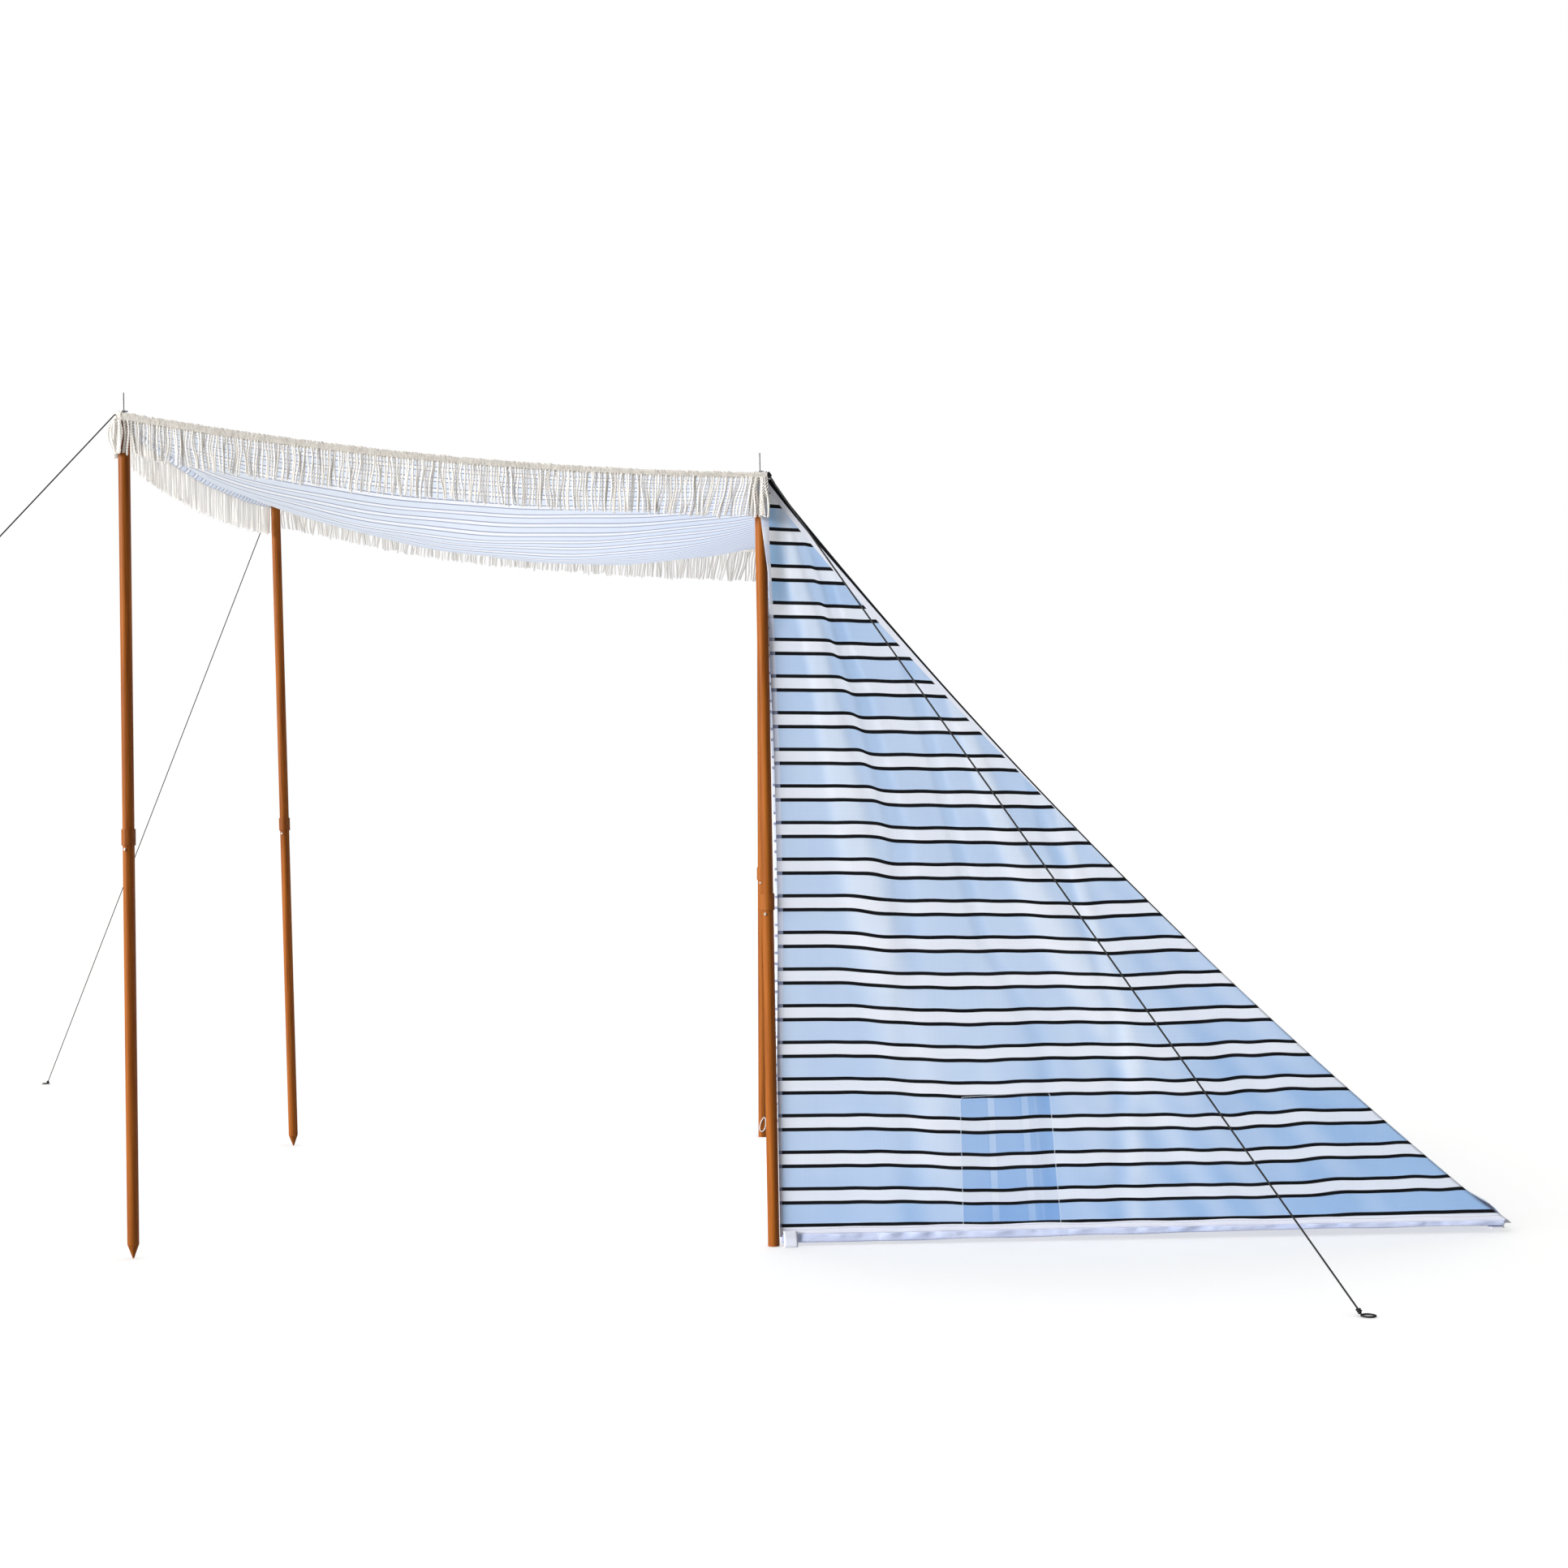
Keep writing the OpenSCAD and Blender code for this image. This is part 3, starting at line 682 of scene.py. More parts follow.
def wall_out(s, z, d):
    """How far the wall's cloth stands out from its plane."""
    keep = sstep(0, 0.05, s) * sstep(0, 0.045, d) * sstep(0.03, 0.16, z)
    f = 0.0085 * ray(s, z, *RAY_A) - 0.0060 * ray(s, z, *DARK_C) + 0.0075 * ray(s, z, *RAY_B) + 0.004 * ray(s, z, *RAY_C)
    f = f - 0.0045 * ray(s, z, *DARK_A) - 0.004 * ray(s, z, *DARK_B)
    th = np.arctan2(s, MID_H + 0.01 - z)
    f = f + 0.0022 * np.sin(th * 34 + 1.3) * sstep(0.3, 1.0, MID_H - z) + 0.0014 * np.sin(s * 27 + z * 9) + 0.0010 * np.sin(s * 12 - z * 33)
    f = f + 0.0020 * np.sin(s * 46 + 5 * np.sin(s * 6)) * np.exp(-((z - 0.06) / 0.07) ** 2)
    return f * keep * 0.17


PK_Z1 = 0.3145


def pocket_edge(z):
    """Front and back edge of the pocket at height z: both lean back a little towards the ground."""
    return 0.3867 + (0.3104 - z) * 0.0077, 0.5784 + (0.3189 - z) * 0.0696


def pocket_top(s):
    return PK_Z1 + 0.044 * (s - 0.4825)


def wall(side):
    nxw, nzw = 150, 200
    z0, z1 = 0.0185, MID_H - 0.004
    zz = z0 + (z1 - z0) * np.linspace(0, 1, nzw)
    uu = np.linspace(0, 1, nxw)
    Uw, Zw = np.meshgrid(uu, zz, indexing="ij")
    xe = slope_x(Zw) + 0.0006
    xe = xe + 0.013 * np.exp(-((Zw - 0.02) / 0.03) ** 2)
    xf = wall_front(Zw)
    Xw = xf + (xe - xf) * Uw
    s = Xw - WALL_X0
    d = (xe - Xw) * 0.70
    out = wall_out(s, Zw, d)
    za = Zw.copy()
    for _ in range(8):
        za = Zw - level(s, za)
    t = za - STRIPE_0 + BLK / 2 + STRIPE_P * 4
    # painted light shining through the cloth: paler along the bright folds and at some heights, deeper further back,
    # darker along the dark folds, with fine fan-shaped ripples; painted shade of the roof and fringe high up along the
    # front edge and low down near the slope edge; darker towards the bottom
    painted_glow = 0.44 - 0.25 * sstep(0.45, 1.25, s) + 0.11 * bump1(Zw, 0.64, 0.28) - 0.07 * sstep(1.02, 1.20, Zw)
    painted_glow = painted_glow + 0.45 * ray(s, Zw, *RAY_A) * sstep(-0.25, 0.45, Zw) + 0.47 * ray(s, Zw, *RAY_B) * sstep(0.05, 0.60, Zw) + 0.34 * ray(s, Zw, *RAY_C)
    painted_glow = painted_glow - 0.17 * ray(s, Zw, *DARK_A) - 0.19 * ray(s, Zw, *DARK_B) - 0.17 * ray(s, Zw, *DARK_C)
    painted_glow = painted_glow - 0.10 * sstep(1.25, 1.50, Zw) * sstep(0.06, 0.02, s) + 0.14 * sstep(1.40, 1.62, Zw) - 0.32 * bump1(d, 0.055, 0.045) * sstep(0.45, 0.25, Zw)
    painted_glow = painted_glow - 0.16 * sstep(0.20, 0.06, Zw)
    fan = np.arctan2(s, MID_H + 0.01 - Zw)
    painted_glow = painted_glow + (0.09 * np.sin(fan * 71 + 2.0 + 2 * np.sin(fan * 23)) + 0.08 * np.sin(fan * 133 + Zw * 3)) * sstep(0.35, 0.85, s)
    painted_glow = np.clip(painted_glow, 0, 1)
    p0, p1 = pocket_edge(Zw)
    q = (s - p0) / (p1 - p0)
    # painted shade of the pocket behind the wall: deeper low down and near its top
    lower = 0.22 * sstep(0.14, 0.05, Zw) + 0.12 * sstep(0.25, 0.32, Zw)
    # signed distance to the pocket's seam
    seam = np.maximum(np.maximum(p0 - s, s - p1), Zw - pocket_top(s))
    topf = sstep(0.66, 1.50, Zw)
    blk = np.interp(Zw, [0.50, 0.70, 1.0, 1.25, 1.42, 1.52], [0.0, 0.0027, 0.0033, 0.0042, 0.0054, 0.0078])
    rim = np.stack([d - 0.0165 * topf, d - blk + 0.0004, Zw + 0.0012 * np.sin(s * 31)], -1)
    over = 0.0142 * sstep(0.060, 0.004, Xw - MID_X) * sstep(0.34, 0.22, MID_H - Zw)      # cloth over the pole's top
    Pw = np.stack([Xw, np.full_like(Xw, -HALF_W - 0.0004) - out - over, Zw], -1)
    if side > 0:
        Pw[..., 1] *= -1
    at = {"cloth": np.stack([Xw - xf, t, d], -1), "edge": np.stack([lower, front_hem(Zw), seam], -1), "rim": rim, "painted_glow": painted_glow, "pleat": q}
    return shell("left_wall_cloth" if side < 0 else "right_wall_cloth", Pw, (m_wall, m_rev), at, 0.0008, flip=side > 0)


walls = []
for side, node in ((-1, "left_side_wall"), (1, "right_side_wall")):
    w = wall(side)
    walls.append(w)
    done(w, "striped_cloth", node)

# ---------------------------------------------------------------- groundsheet with a turned-up edge
gx = np.concatenate([np.linspace(-0.775, 0.768, 130), np.linspace(0.772, 0.800, 8)])
gy = np.concatenate([np.linspace(-0.828, -0.803, 8), np.linspace(-0.799, 0.799, 76), np.linspace(0.803, 0.828, 8)])
GX, GY = np.meshgrid(gx, gy, indexing="ij")
zl_x = np.clip(GX - 0.772, 0, None)
zl_y = np.clip(np.abs(GY) - 0.803, 0, None)
lipz = np.maximum(zl_x, zl_y)
wr = (np.sin(GX * 62 + 3 * np.sin(GX * 13)) + 0.7 * np.sin(GX * 141 + 2 * np.sin(GX * 31) + 1.0)) * 0.0022
PX = np.minimum(GX, 0.772) + np.where(zl_x > 0, 0.0010 + 0.08 * zl_x, 0)
PY = np.sign(GY) * (np.minimum(np.abs(GY), 0.803) + np.where(zl_y > 0, 0.0012 + wr * sstep(0.002, 0.02, zl_y), 0))
flat_w = 0.0011 * (1 + np.sin(GX * 25 + 2 * np.sin(GY * 9)) * np.sin(GY * 21 + 1.5 * np.sin(GX * 7)))
off_g = (0.005 + 0.008 * sstep(-0.7, 0.5, GX)) * sstep(0.66, 0.80, np.abs(GY)) * (1 - lipz / 0.028)
PZ = 0.0012 + flat_w * (lipz <= 0) + lipz * 0.92 + off_g
ground = shell("groundsheet_cloth", np.stack([PX, PY, PZ], -1), (m_ground, m_ground), {"cloth": np.stack([GX, GY, 0 * GX], -1)}, 0.0010)
done(ground, "groundsheet_cloth", "groundsheet")


# ---------------------------------------------------------------- fringe
def fringe(name, node, root, along, outward, length_m, seed, slant, size=None, push=None, thin=None, extra=(), fat=None, band=None):
    """root(q) gives the top edge point at q metres along. Strands are two twisted plies that hang from a knitted header.
    size(q) scales a strand's length, push(q, tau) moves it outward, thin(q) is the share of strands left."""
    rng = np.random.default_rng(seed)
    pitch = 0.0057
    K = int(length_m / pitch)
    q = (np.arange(K) + 0.5) * length_m / K + rng.normal(0, 0.0006, K)
    if thin is not None:
        share = thin(q)
        keep = np.floor(np.cumsum(share) + 0.5) > np.floor(np.cumsum(share) - share + 0.5)
        q = q[keep]
        K = len(q)
    for q0, q1, n_more in extra:
        q = np.sort(np.concatenate([q, np.linspace(q0, q1, n_more)]))
    K = len(q)
    wide = np.ones(K) if fat is None else fat(q)
    head = 0.0155
    S_ = 44
    tau = np.linspace(0, 1, S_)
    L = (FRINGE_L - head) * (1 + rng.normal(0, 0.032, K))
    if size is not None:
        L = L * size(q)
    # neighbouring strands lean on each other in small bunches
    grp = np.repeat(np.arange(K), rng.integers(1, 5, K))[:K]
    ng = grp.max() + 1
    cen = np.array([q[grp == g].mean() if (grp == g).any() else 0 for g in range(ng)])
    gl = rng.normal(0, 0.0025, ng)
    pull = (cen[grp] - q) * rng.uniform(0.03, 0.22, ng)[grp] + gl[grp] - 0.0030 + slant(q) + rng.normal(0, 0.0013, K)
    sway = rng.normal(0, 0.0010, K)
    ph = rng.uniform(0, 6.28, K)
    gph = rng.uniform(0, 6.28, ng)[grp]
    gam = rng.uniform(0.0006, 0.0028, ng)[grp]
    lat = pull[:, None] * tau[None] ** 1.1 + sway[:, None] * np.sin(tau * 5 + ph[:, None]) + gam[:, None] * np.sin(tau * 4.4 + gph[:, None]) * sstep(0, 0.35, tau)[None]
    outw = 0.0016 + rng.normal(0, 0.0008, K)[:, None] * np.ones(S_)[None] + rng.normal(0, 0.0014, K)[:, None] * tau[None] ** 1.5
    outw = outw + ((wide - 1) * 0.014 * rng.random(K))[:, None]
    if push is not None:
        outw = outw + push(q[:, None], tau[None])
    R = root(q)
    e1 = along(q)[:, None, :]
    e2 = outward(q)[:, None, :]
    C = R[:, None, :] + e1 * lat[..., None] + e2 * outw[..., None]
    narrow = (lambda x: np.ones_like(x)) if band is None else band
    hd = (head * narrow(q))[:, None]
    C[..., 2] += -hd + 0.003 - (L[:, None] + head - hd) * tau[None] * 0.998
    loop_r = 0.00116 * (1 + 0.65 * bump1(tau, 0.955, 0.03)) * np.sqrt(np.clip((1 - tau) / 0.02, 0, 1)) ** 0.7
    turn = 2 * np.pi * (L[:, None] * tau[None]) / 0.0116 + ph[:, None]
    sides = 3
    V, F, ends, tone = [], [], [], []
    idx0 = 0
    tan_ = rng.random(K) < 0.30
    base = np.where(tan_, rng.uniform(0.30, 0.58, K), rng.uniform(0.74, 1.0, K))
    for ply in (0, np.pi):
        cx = C + (wide[:, None] * loop_r[None])[..., None] * (np.cos(turn + ply)[..., None] * e1 + np.sin(turn + ply)[..., None] * e2)
        a = np.arange(sides) * 2 * np.pi / sides + 0.5
        rp = 0.00142 * (1 - 0.25 * tau ** 6)
        ring = cx[:, :, None, :] + (wide[:, None] * rp[None])[:, :, None, None] * (np.cos(a)[:, None] * e1[:, :, None] + np.sin(a)[:, None] * e2[:, :, None])
        V.append(ring.reshape(-1, 3))
        # painted shade: each ply is darker where it turns to the back of the twist, and every strand is darker at its
        # top under the header
        inner = -0.24 * (0.5 - 0.5 * np.sin(turn + ply))
        tone.append(np.repeat((base[:, None] + inner - 0.10 * (1 - sstep(0, 0.12, tau))[None]).reshape(-1), sides))
        ids = idx0 + np.arange(K * S_ * sides).reshape(K, S_, sides)
        i1, i2 = ids[:, :-1], ids[:, 1:]
        F.append(np.stack([i1, np.roll(i1, -1, 2), np.roll(i2, -1, 2), i2], -1).reshape(-1, 4))
        ends += ids[:, 0, ::-1].tolist() + ids[:, -1].tolist()
        idx0 += K * S_ * sides
    # knitted header band with a fuzzy upper edge
    n = int(length_m / 0.0015)
    qh = np.linspace(0, length_m, n)
    Rh = root(qh)
    sec = np.array([(-0.0018, 0.0028), (-0.0006, 0.0042), (0.0010, 0.0040), (0.0020, 0.0012), (0.0024, -0.0024), (0.0019, -0.0058), (0.0023, -0.0092), (0.0018, -0.0124), (0.0010, -0.0148), (0.0, -0.0150), (-0.0018, -0.0135), (-0.0018, -0.0050)])
    m = len(sec)
    front = np.array([0, 0, 0.5, 1, 1, 1, 1, 1, 0.6, 0, 0, 0])
    knit = np.sin(2 * np.pi * (qh[:, None] / 0.0046 + sec[None, :, 1] / 0.0068)) + 0.5 * np.sin(2 * np.pi * (qh[:, None] / 0.0046 - sec[None, :, 1] / 0.0090) + 1.0)
    fuzz = rng.normal(0, 1.0, n)
    fuzz = np.convolve(fuzz, [0.25, 0.5, 0.25], "same") * 0.0011 + 0.0006 * np.abs(np.sin(qh * np.pi / 0.0046))
    eh = outward(qh)[:, None, :]
    HV = Rh[:, None, :] + eh * (sec[None, :, 0] + (0.00055 * knit + rng.normal(0, 0.00022, (n, m))) * front[None])[..., None]
    HV[..., 2] += np.where(sec[None, :, 1] < 0, sec[None, :, 1] * narrow(qh)[:, None], sec[None, :, 1]) + fuzz[:, None] * np.array([0.5, 1, 1, 0.35, 0, 0, 0, 0, 0, 0, 0, 0])[None] + rng.normal(0, 0.00012, (n, m))
    ids = idx0 + np.arange(n * m).reshape(n, m)
    F.append(np.stack([ids[:-1], np.roll(ids[:-1], -1, 1), np.roll(ids[1:], -1, 1), ids[1:]], -1).reshape(-1, 4))
    ends += [ids[0, ::-1].tolist(), ids[-1].tolist()]
    V.append(HV.reshape(-1, 3))
    blot = np.convolve(rng.normal(0, 1, n), np.ones(7) / 7, "same")[:, None]
    # painted shade: the header is darker in the hollows of its knit, the same pattern as its relief; blot and noise
    # vary its tone at random
    tone.append((0.27 + 0.12 * knit * front[None] + 0.14 * blot + rng.normal(0, 0.12, (n, m))).reshape(-1))
    faces = np.concatenate(F).tolist() + ends
    if np.cross(e1[0, 0], e2[0, 0])[2] > 0:
        faces = [f[::-1] for f in faces]
    ob = new_mesh(name, np.concatenate(V), faces, [m_fringe], None, {"tone": np.concatenate(tone)})
    done(ob, "fringe_cotton", node)
    return ob


FR_Y = ROOF_HW + 0.0030
SIDE_LEN = ROOF_X1 - FRONT_X + 0.002
CORNER_R = 0.0195
ARC = CORNER_R * math.pi / 2
FRONT_LEN = 2 * HALF_W + 2 * ARC


def side_root(sgn):
    def root(q):
        x = FRONT_X + q
        z = roof_z(np.clip(x, ROOF_X0, ROOF_X1), np.full_like(x, ROOF_HW)) + CLOTH
        return np.stack([x, np.full_like(x, sgn * FR_Y), z], -1)
    return root


def front_angle(q):
    """Direction that the front fringe faces: it turns round each pole at the corners."""
    return np.pi + np.pi / 2 * (np.clip(1 - q / ARC, 0, 1) - np.clip(1 - (FRONT_LEN - q) / ARC, 0, 1))


def front_root(q):
    a = front_angle(q)
    y = np.clip(q - ARC, 0, 2 * HALF_W) - HALF_W
    x, yy = FRONT_X + CORNER_R * np.cos(a), y + CORNER_R * np.sin(a)
    z = roof_z(np.clip(x, ROOF_X0, ROOF_X1), np.clip(yy, -ROOF_HW, ROOF_HW)) + CLOTH
    return np.stack([x, yy, z], -1)


def flat_dir(x, y):
    return lambda q: np.repeat(np.array([[x, y, 0.0]]), len(q), 0)


def front_out(q):
    a = front_angle(q)
    return np.stack([np.cos(a), np.sin(a), 0 * a], -1)


def front_along(q):
    a = front_angle(q)
    return np.stack([np.sin(a), -np.cos(a), 0 * a], -1)


def slant_side(q):
    return -0.016 * sstep(SIDE_LEN - 0.30, SIDE_LEN - 0.05, q) * sstep(SIDE_LEN - 0.022, SIDE_LEN - 0.045, q) + 0.006 * sstep(0.25, 0.03, q) * sstep(0.0, 0.03, q)


def corner_share(q):
    """Strands hang apart where they cross a pole's top."""
    return np.where((q > 0.0035) & (q < 0.0065), 0.0, 1.0)


def side_band(q):
    return 0.95 - 0.36 * sstep(0.0, SIDE_LEN, q)


def front_push(q, tau):
    """The front fringe bellies out at its near end and is drawn in to the pole below."""
    end = sstep(0.004, 0.02, q) * sstep(0.10, 0.03, q)
    return end * (0.011 * np.sin(np.pi * np.clip(tau * 1.05, 0, 1)) - 0.0035 * tau ** 3)


fr_l = fringe("left_fringe_strands", "left_fringe", side_root(-1), flat_dir(1, 0), flat_dir(0, -1), SIDE_LEN, 3, slant_side,
              size=lambda q: 1 - 0.10 * sstep(0.10, 0.0, q), thin=corner_share, extra=[(0.0085, 0.030, 4), (SIDE_LEN - 0.033, SIDE_LEN - 0.016, 5), (SIDE_LEN - 0.012, SIDE_LEN - 0.001, 7)],
              fat=lambda q: 1 + 0.16 * sstep(0.05, 0.02, q) + 0.14 * sstep(SIDE_LEN - 0.05, SIDE_LEN - 0.03, q), band=side_band)
fr_r = fringe("right_fringe_strands", "right_fringe", side_root(1), flat_dir(1, 0), flat_dir(0, 1), SIDE_LEN, 4, slant_side,
              size=lambda q: 1 - 0.27 * sstep(0.50, 0.03, q), thin=corner_share, band=side_band)
fr_f = fringe("front_fringe_strands", "front_fringe", front_root, front_along, front_out, FRONT_LEN, 5, lambda q: 0.003 + 0 * q,
              push=front_push, size=lambda q: 1 - 0.08 * sstep(0.05, 0.0, q), extra=[(0.001, 0.014, 9), (0.014, 0.046, 18)],
              fat=lambda q: 1 + 0.22 * sstep(0.07, 0.04, q))


# ---------------------------------------------------------------- guy ropes
def knot(c, r, rope_r, turns=2.2, ax=(0, 0, 1), seed=1):
    """A small wound knot: rope wrapped round the axis ax at c."""
    ax = np.asarray(ax, float) / np.linalg.norm(ax)
    ref = np.array([1.0, 0, 0]) if abs(ax[0]) < 0.9 else np.array([0, 1.0, 0])
    e1 = np.cross(ax, ref)
    e1 /= np.linalg.norm(e1)
    e2 = np.cross(ax, e1)
    a = np.linspace(0, turns * 2 * np.pi, int(turns * 22))
    p = np.asarray(c) + r * (np.cos(a)[:, None] * e1 + np.sin(a)[:, None] * e2) + ax * (a / (2 * np.pi) - turns / 2)[:, None] * rope_r * 1.9
    return tube(p, rope_r, 8)


def smooth_path(pts, n):
    """Points along a rounded line through pts."""
    pts = np.asarray(pts, float)
    d = np.concatenate([[0], np.cumsum(np.linalg.norm(np.diff(pts, axis=0), axis=1))])
    q = np.linspace(0, d[-1], n)
    return np.stack([np.interp(q, d, pts[:, i]) for i in range(3)], 1)


def guy(name, node, pole, h, foot, seed):
    rr = 0.0019 if h < 1.7 else (0.0015 if pole[1] < 0 else 0.0013)
    pole = np.array([pole[0], pole[1], 0.0])
    foot = np.array([foot[0], foot[1], 0.0035])
    d = foot - pole
    d[2] = 0
    e = d / np.linalg.norm(d)
    parts = []
    pin = pole + np.array([0, 0, h + 0.0080])
    parts.append(knot(pin, 0.0036, rr, 1.15, seed=seed))
    out, drop = (0.024, 0.004) if h > 1.7 else (0.022, 0.005)
    kn = pole + e * out + np.array([0, 0, h + drop])
    lead = smooth_path([pin + e * 0.0036, pin + e * out * 0.55 + np.array([0, 0, -0.0015]), kn], 14)
    parts.append(tube(lead, rr, 8))
    line_d = (foot - kn) / np.linalg.norm(foot - kn)
    if h < 1.7:
        parts.append(knot(kn, 0.0044, rr, 3.2, line_d))
    end = foot - e * 0.014 + np.array([0, 0, 0.001])
    n = 160
    parts.append(tube(kn + (end - kn) * np.linspace(0, 1, n)[:, None], rr, 8))
    # loose tail at the knot
    side = np.cross(line_d, [0, 0, 1.0])
    side /= np.linalg.norm(side)
    tl = np.linspace(0, 1, 14)[:, None]
    tail = kn + line_d * 0.004 + side * 0.005 * np.sin(tl * 2.2) + e * 0.016 * tl + np.array([0, 0, -1.0]) * 0.020 * tl ** 1.5 + np.array([0, 0, 0.004]) * tl
    if h < 1.7:
        parts.append(tube(tail, rr * 0.95, 8))
    # peg loop with a knot above it
    a = np.linspace(0, 2 * np.pi, 40, endpoint=False)
    ee = np.array([-e[1], e[0], 0])
    lp = foot + 0.0115 * (np.cos(a)[:, None] * e * 1.15 + np.sin(a)[:, None] * ee)
    lp[:, 2] = 0.0022
    parts.append(tube(lp, rr, 8, close=True))
    k2 = end - line_d * 0.006
    k2[2] = max(k2[2], 0.0062)
    parts.append(knot(k2, 0.0030, rr, 2.6, line_d))
    ob = join_tubes(name, parts, m_rope)
    return done(ob, "guy_rope", node)


for sgn, nm in ((-1, "left"), (1, "right")):
    guy(f"front_{nm}_rope", f"front_{nm}_guy_rope", (FRONT_X, sgn * HALF_W), FRONT_H, (FRONT_X - 1.135, sgn * (HALF_W + 1.555)), 1)
    guy(f"middle_{nm}_rope", f"middle_{nm}_guy_rope", (MID_X, sgn * HALF_W), MID_H, (MID_X + 1.080, sgn * (HALF_W + 0.785)), 2)


# ---------------------------------------------------------------- webbing tabs, foot loops, pockets
def strip_mesh(name, path, width_dir, width, th, mat):
    """A flat strap along path."""
    path = np.asarray(path, float)
    w = np.asarray(width_dir, float)
    n = len(path)
    j = np.linspace(-0.5, 0.5, 7)
    G = path[:, None, :] + w * (j * width)[None, :, None]
    return shell(name, G, (mat, mat), {"cloth": np.stack([np.repeat(np.arange(n)[:, None] * 0.003, 7, 1), np.repeat(j[None] * width, n, 0), np.zeros((n, 7))], -1)}, th)


tabs = []
for sgn in (-1, 1):
    for x in (-0.775 + 0.017, 0.775 - 0.017):
        t = np.linspace(0, 1, 16)
        y = HALF_W + 0.0085 + 0.015 * sstep(0.35, 1.0, t) + 0.002 * t
        z = 0.030 * (1 - sstep(0.0, 0.75, t)) + 0.0022
        if x > 0:
            y, z = HALF_W - 0.018 + 0.026 * t, 0.0112 + 0 * t
        path = np.stack([np.full(16, x) + 0.002 * np.sin(t * 3), sgn * y, z], -1)
        tabs.append(path)
V, F, A, off = [], [], [], 0
for i, path in enumerate(tabs):
    o = strip_mesh("tab_tmp%d" % i, path, (1, 0, 0), 0.030, 0.0016, m_web)
    me = o.data
    v = np.empty(len(me.vertices) * 3)
    me.vertices.foreach_get("co", v)
    V.append(v.reshape(-1, 3))
    F += [tuple(x + off for x in p.vertices) for p in me.polygons]
    off += len(me.vertices)
    bpy.data.objects.remove(o)
tab = new_mesh("webbing_tabs", np.concatenate(V), F, [m_web])
done(tab, "white_webbing", "peg_tabs")

parts = []
for sgn in (-1, 1):
    # a long loop of cord that lies on the inner face of the pole's foot
    a = np.linspace(0, 2 * np.pi, 56, endpoint=False)
    lx, lz = 0.0075 * np.sin(a) * (1 - 0.25 * np.cos(a)), 0.0200 * np.cos(a)
    tilt = 0.22
    zc = 0.0360 + lz * math.cos(tilt) - lx * math.sin(tilt)
    lean = 0.025 if sgn > 0 else 0.0
    xc = MID_X - lean * (1 - zc / MID_H) + lx * math.cos(tilt) + lz * math.sin(tilt)
    p = np.stack([xc, np.full_like(a, sgn * (HALF_W - 0.0125 - 0.0017)), zc], 1)
    parts.append(tube(p, 0.0012, 8, close=True))
loops = join_tubes("pole_foot_cords", parts, m_cord)
done(loops, "white_cord", "pole_foot_loops")


def pocket(side):
    n_s, n_t = 50, 44
    A_, B_ = np.meshgrid(np.linspace(0, 1, n_s), np.linspace(0, 1, n_t), indexing="ij")
    z = 0.046 + (PK_Z1 - 0.046) * B_
    p0, p1 = pocket_edge(z)
    sp = p0 + (p1 - p0) * A_
    z = z + (pocket_top(sp) - PK_Z1) * B_
    pleat = 0.0026 * (bump1(A_, 0.36, 0.05) + bump1(A_, 0.72, 0.05))
    belly_ = 0.004 * np.sin(np.pi * A_) * (0.25 + 0.75 * B_ ** 2)
    y = -HALF_W + 0.0018 - wall_out(sp, z, 0.2 + 0 * z) + (belly_ + pleat) * sstep(0, 0.05, A_) * sstep(1, 0.95, A_) * sstep(0, 0.06, B_)
    Pp = np.stack([WALL_X0 + sp, y, z], -1)
    t = z - STRIPE_0 + BLK / 2 + STRIPE_P * 4
    if side > 0:
        Pp[..., 1] *= -1
    # painted light: paler and darker bands across the pocket
    G = 0.5 - 0.3 * np.cos(A_ * 12)
    ob = shell("left_pocket_cloth" if side < 0 else "right_pocket_cloth", Pp, (m_rev, m_rev), {"cloth": np.stack([sp, t, 0 * sp], -1), "painted_glow": G}, 0.0008, flip=side < 0)
    return ob


for side, node in ((-1, "left_inner_pocket"), (1, "right_inner_pocket")):
    o = pocket(side)
    done(o, "pocket_cloth", node)

# ---------------------------------------------------------------- floor and light
me = bpy.data.meshes.new("floor")
R_ = 45.0
me.from_pydata([(-R_, -R_, 0), (R_, -R_, 0), (R_, R_, 0), (-R_, R_, 0)], [], [(0, 1, 2, 3)])
floor = bpy.data.objects.new("floor", me)
bpy.context.scene.collection.objects.link(floor)
floor.location = (0, 0, -0.0004)
kf = Mat("floor_pale")
kf.set(Base_Color=(0.80, 0.80, 0.803), Roughness=0.9, Emission_Color=(1.0, 0.995, 0.977))
seen = kf.node("ShaderNodeLightPath").outputs["Is Camera Ray"]
# painted shadow: for camera rays the floor's emission is dimmed by ambient occlusion near the tent and its pieces, a
# soft contact shadow
near = kf.node("ShaderNodeAmbientOcclusion", samples=4)
near.inputs["Distance"].default_value = 0.90
floor_painted_shadow = kf.ramp(near.outputs["AO"], [(0.45, (0.54,) * 3), (0.75, (0.61,) * 3), (0.87, (0.65,) * 3), (0.95, (0.74,) * 3), (1.0, (0.79,) * 3)])
kf.put(kf.b.inputs["Emission Strength"], kf.math("ADD", kf.math("MULTIPLY", seen, kf.math("SUBTRACT", floor_painted_shadow, 0.19)), 0.19))
kf.b.inputs["Specular IOR Level"].default_value = 0.1
me.materials.append(kf.m)

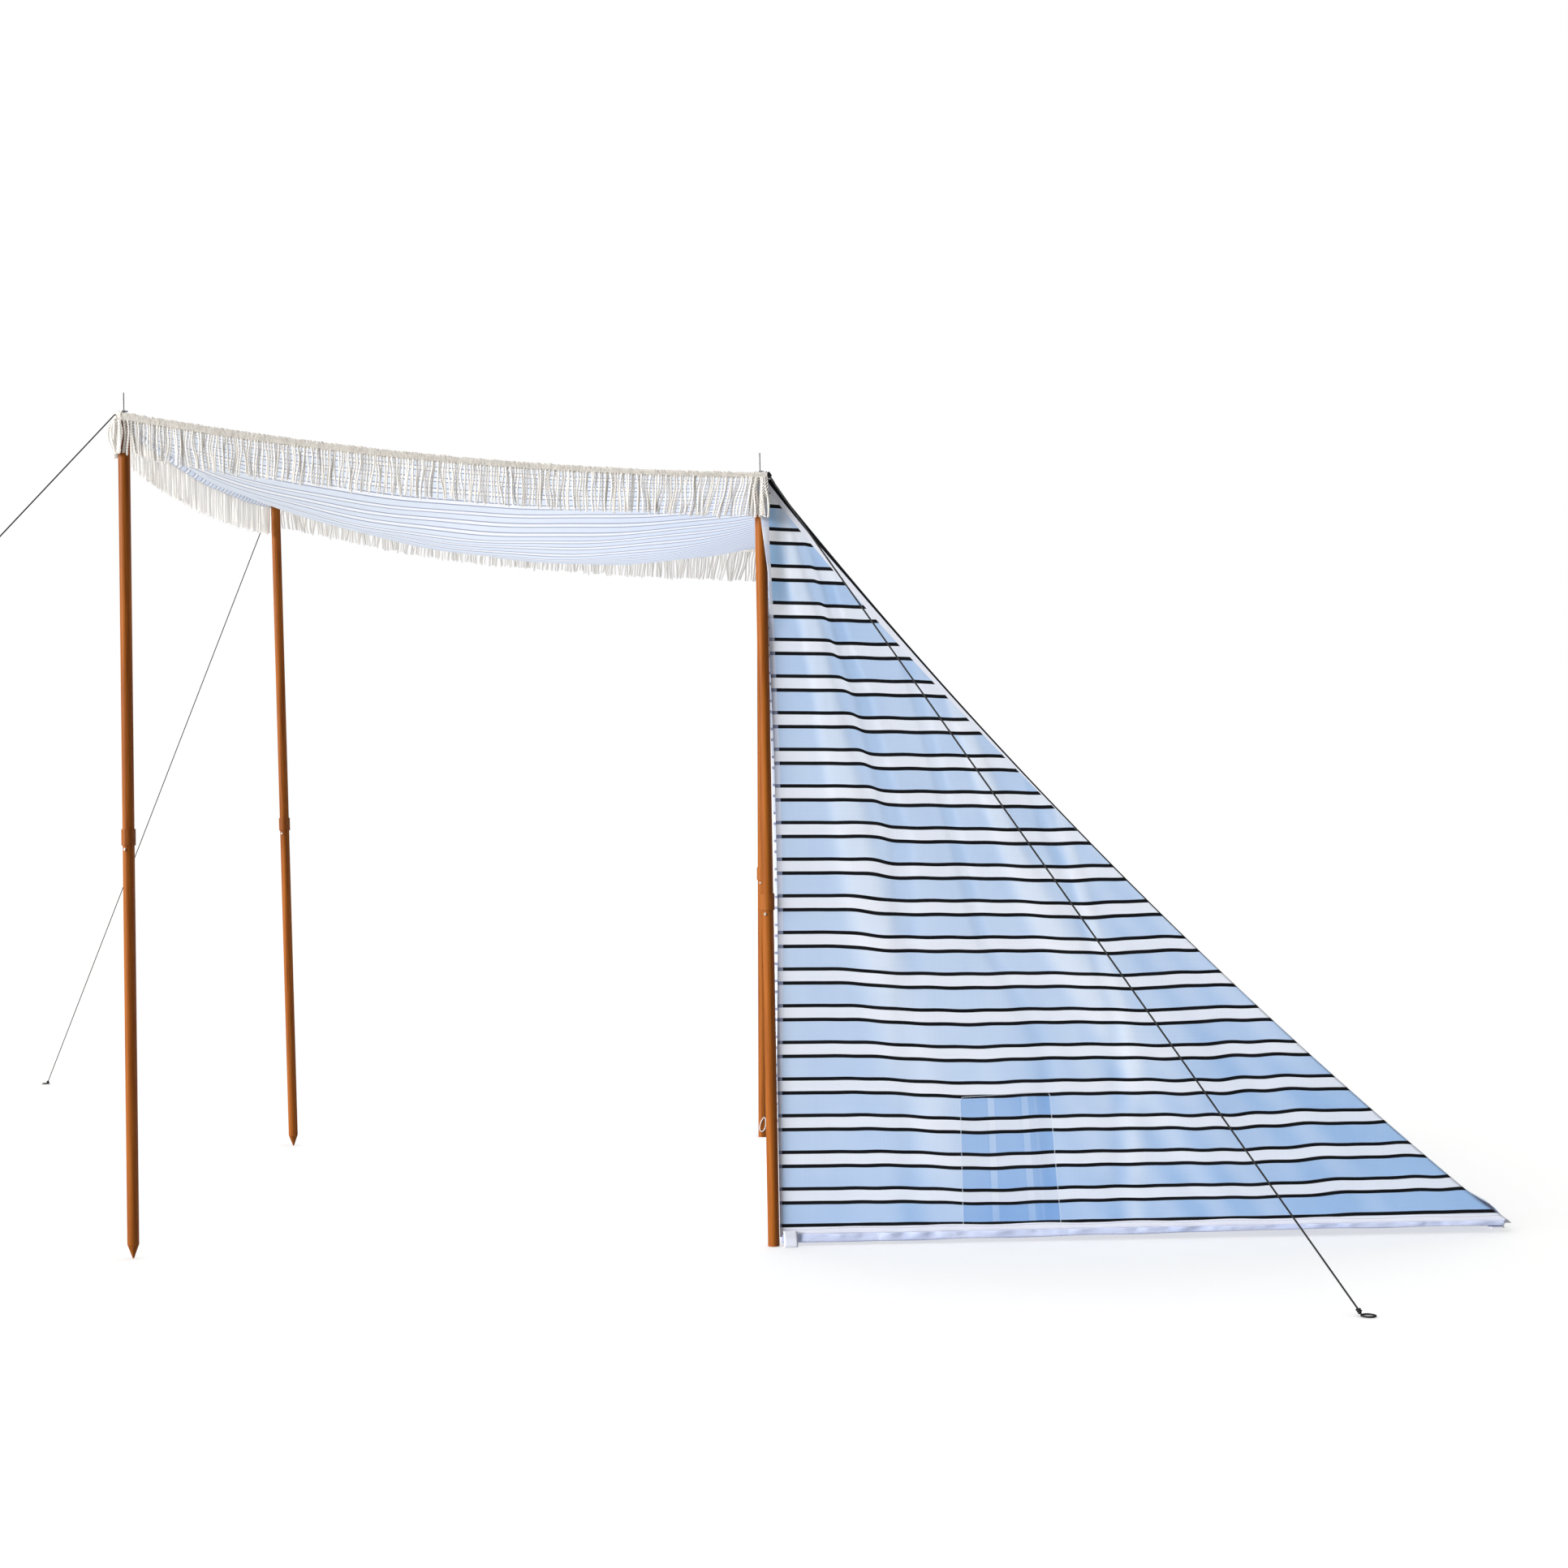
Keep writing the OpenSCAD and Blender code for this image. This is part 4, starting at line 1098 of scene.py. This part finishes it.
world = bpy.data.worlds.new("world")
bpy.context.scene.world = world
world.use_nodes = True
wt = world.node_tree
wt.nodes.clear()
wo = wt.nodes.new("ShaderNodeOutputWorld")
bg1 = wt.nodes.new("ShaderNodeBackground")
bg1.inputs[0].default_value = (1, 1, 1, 1)
tc_ = wt.nodes.new("ShaderNodeTexCoord")
sx_ = wt.nodes.new("ShaderNodeSeparateXYZ")
wt.links.new(tc_.outputs["Generated"], sx_.inputs[0])
mr_ = wt.nodes.new("ShaderNodeMapRange")          # brighter from the left
for i_, v_ in enumerate((-0.9, 0.9, 0.42, 0.08)):
    mr_.inputs[i_ + 1].default_value = v_
wt.links.new(sx_.outputs[0], mr_.inputs[0])
wt.links.new(mr_.outputs[0], bg1.inputs[1])
bg2 = wt.nodes.new("ShaderNodeBackground")
bg2.inputs[0].default_value = (1, 1, 1, 1)
bg2.inputs[1].default_value = 1.0
lp_ = wt.nodes.new("ShaderNodeLightPath")
mx = wt.nodes.new("ShaderNodeMixShader")
wt.links.new(lp_.outputs["Is Camera Ray"], mx.inputs[0])
wt.links.new(bg1.outputs[0], mx.inputs[1])
wt.links.new(bg2.outputs[0], mx.inputs[2])
wt.links.new(mx.outputs[0], wo.inputs[0])


def sun(name, energy, angle, toward):
    d_ = bpy.data.lights.new(name, "SUN")
    d_.energy = energy
    d_.angle = math.radians(angle)
    o_ = bpy.data.objects.new(name, d_)
    bpy.context.scene.collection.objects.link(o_)
    o_.rotation_euler = Vector(toward).to_track_quat("-Z", "Y").to_euler()
    return o_


key = sun("key_left", 4.95, 30, (0.86, 0.40, -0.33))
# the floor is lit by the even studio light alone and not by the key, so that it stays plain; its soft shadow is painted
# into its emission
apart = bpy.data.collections.new("key_apart")
apart.objects.link(floor)
apart.collection_objects[0].light_linking.link_state = "EXCLUDE"
key.light_linking.receiver_collection = apart
sun("rim_right", 0.4, 30, (-0.85, 0.05, -0.35))
# soft light from behind, for the back and the far wall
behind = sun("behind", 2.4, 40, (-0.45, -0.62, -0.60))
lit3 = bpy.data.collections.new("behind_lit")
for o in (back, walls[1]):
    lit3.objects.link(o)
behind.light_linking.receiver_collection = lit3

# bounce card under the roof, for the roof's underside and the fringe
card = bpy.data.lights.new("bounce", "AREA")
card.shape = "RECTANGLE"
card.size, card.size_y = 2.3, 2.4
card.energy = 25.0
card_o = bpy.data.objects.new("bounce", card)
bpy.context.scene.collection.objects.link(card_o)
card_o.location = (-1.45, -0.50, 0.02)
card_o.rotation_euler = (math.pi, 0.0, 0.0)
card_o.visible_camera = False
lit = bpy.data.collections.new("bounce_lit")
for o in (roof, fr_l, fr_r, fr_f):
    lit.objects.link(o)
card_o.light_linking.receiver_collection = lit
# soft light back from the pale floor on to the inside of the front and far fringe
fill = sun("fill_low", 1.55, 24, (-0.25, 0.90, 0.35))
fill.data.color = (1.0, 0.975, 0.94)
lit2, stop2 = bpy.data.collections.new("fill_lit"), bpy.data.collections.new("fill_stop")
for o in (fr_r, fr_f):
    lit2.objects.link(o)
for o in (roof, fr_l, fr_r, fr_f):
    stop2.objects.link(o)
fill.light_linking.receiver_collection = lit2
fill.light_linking.blocker_collection = stop2
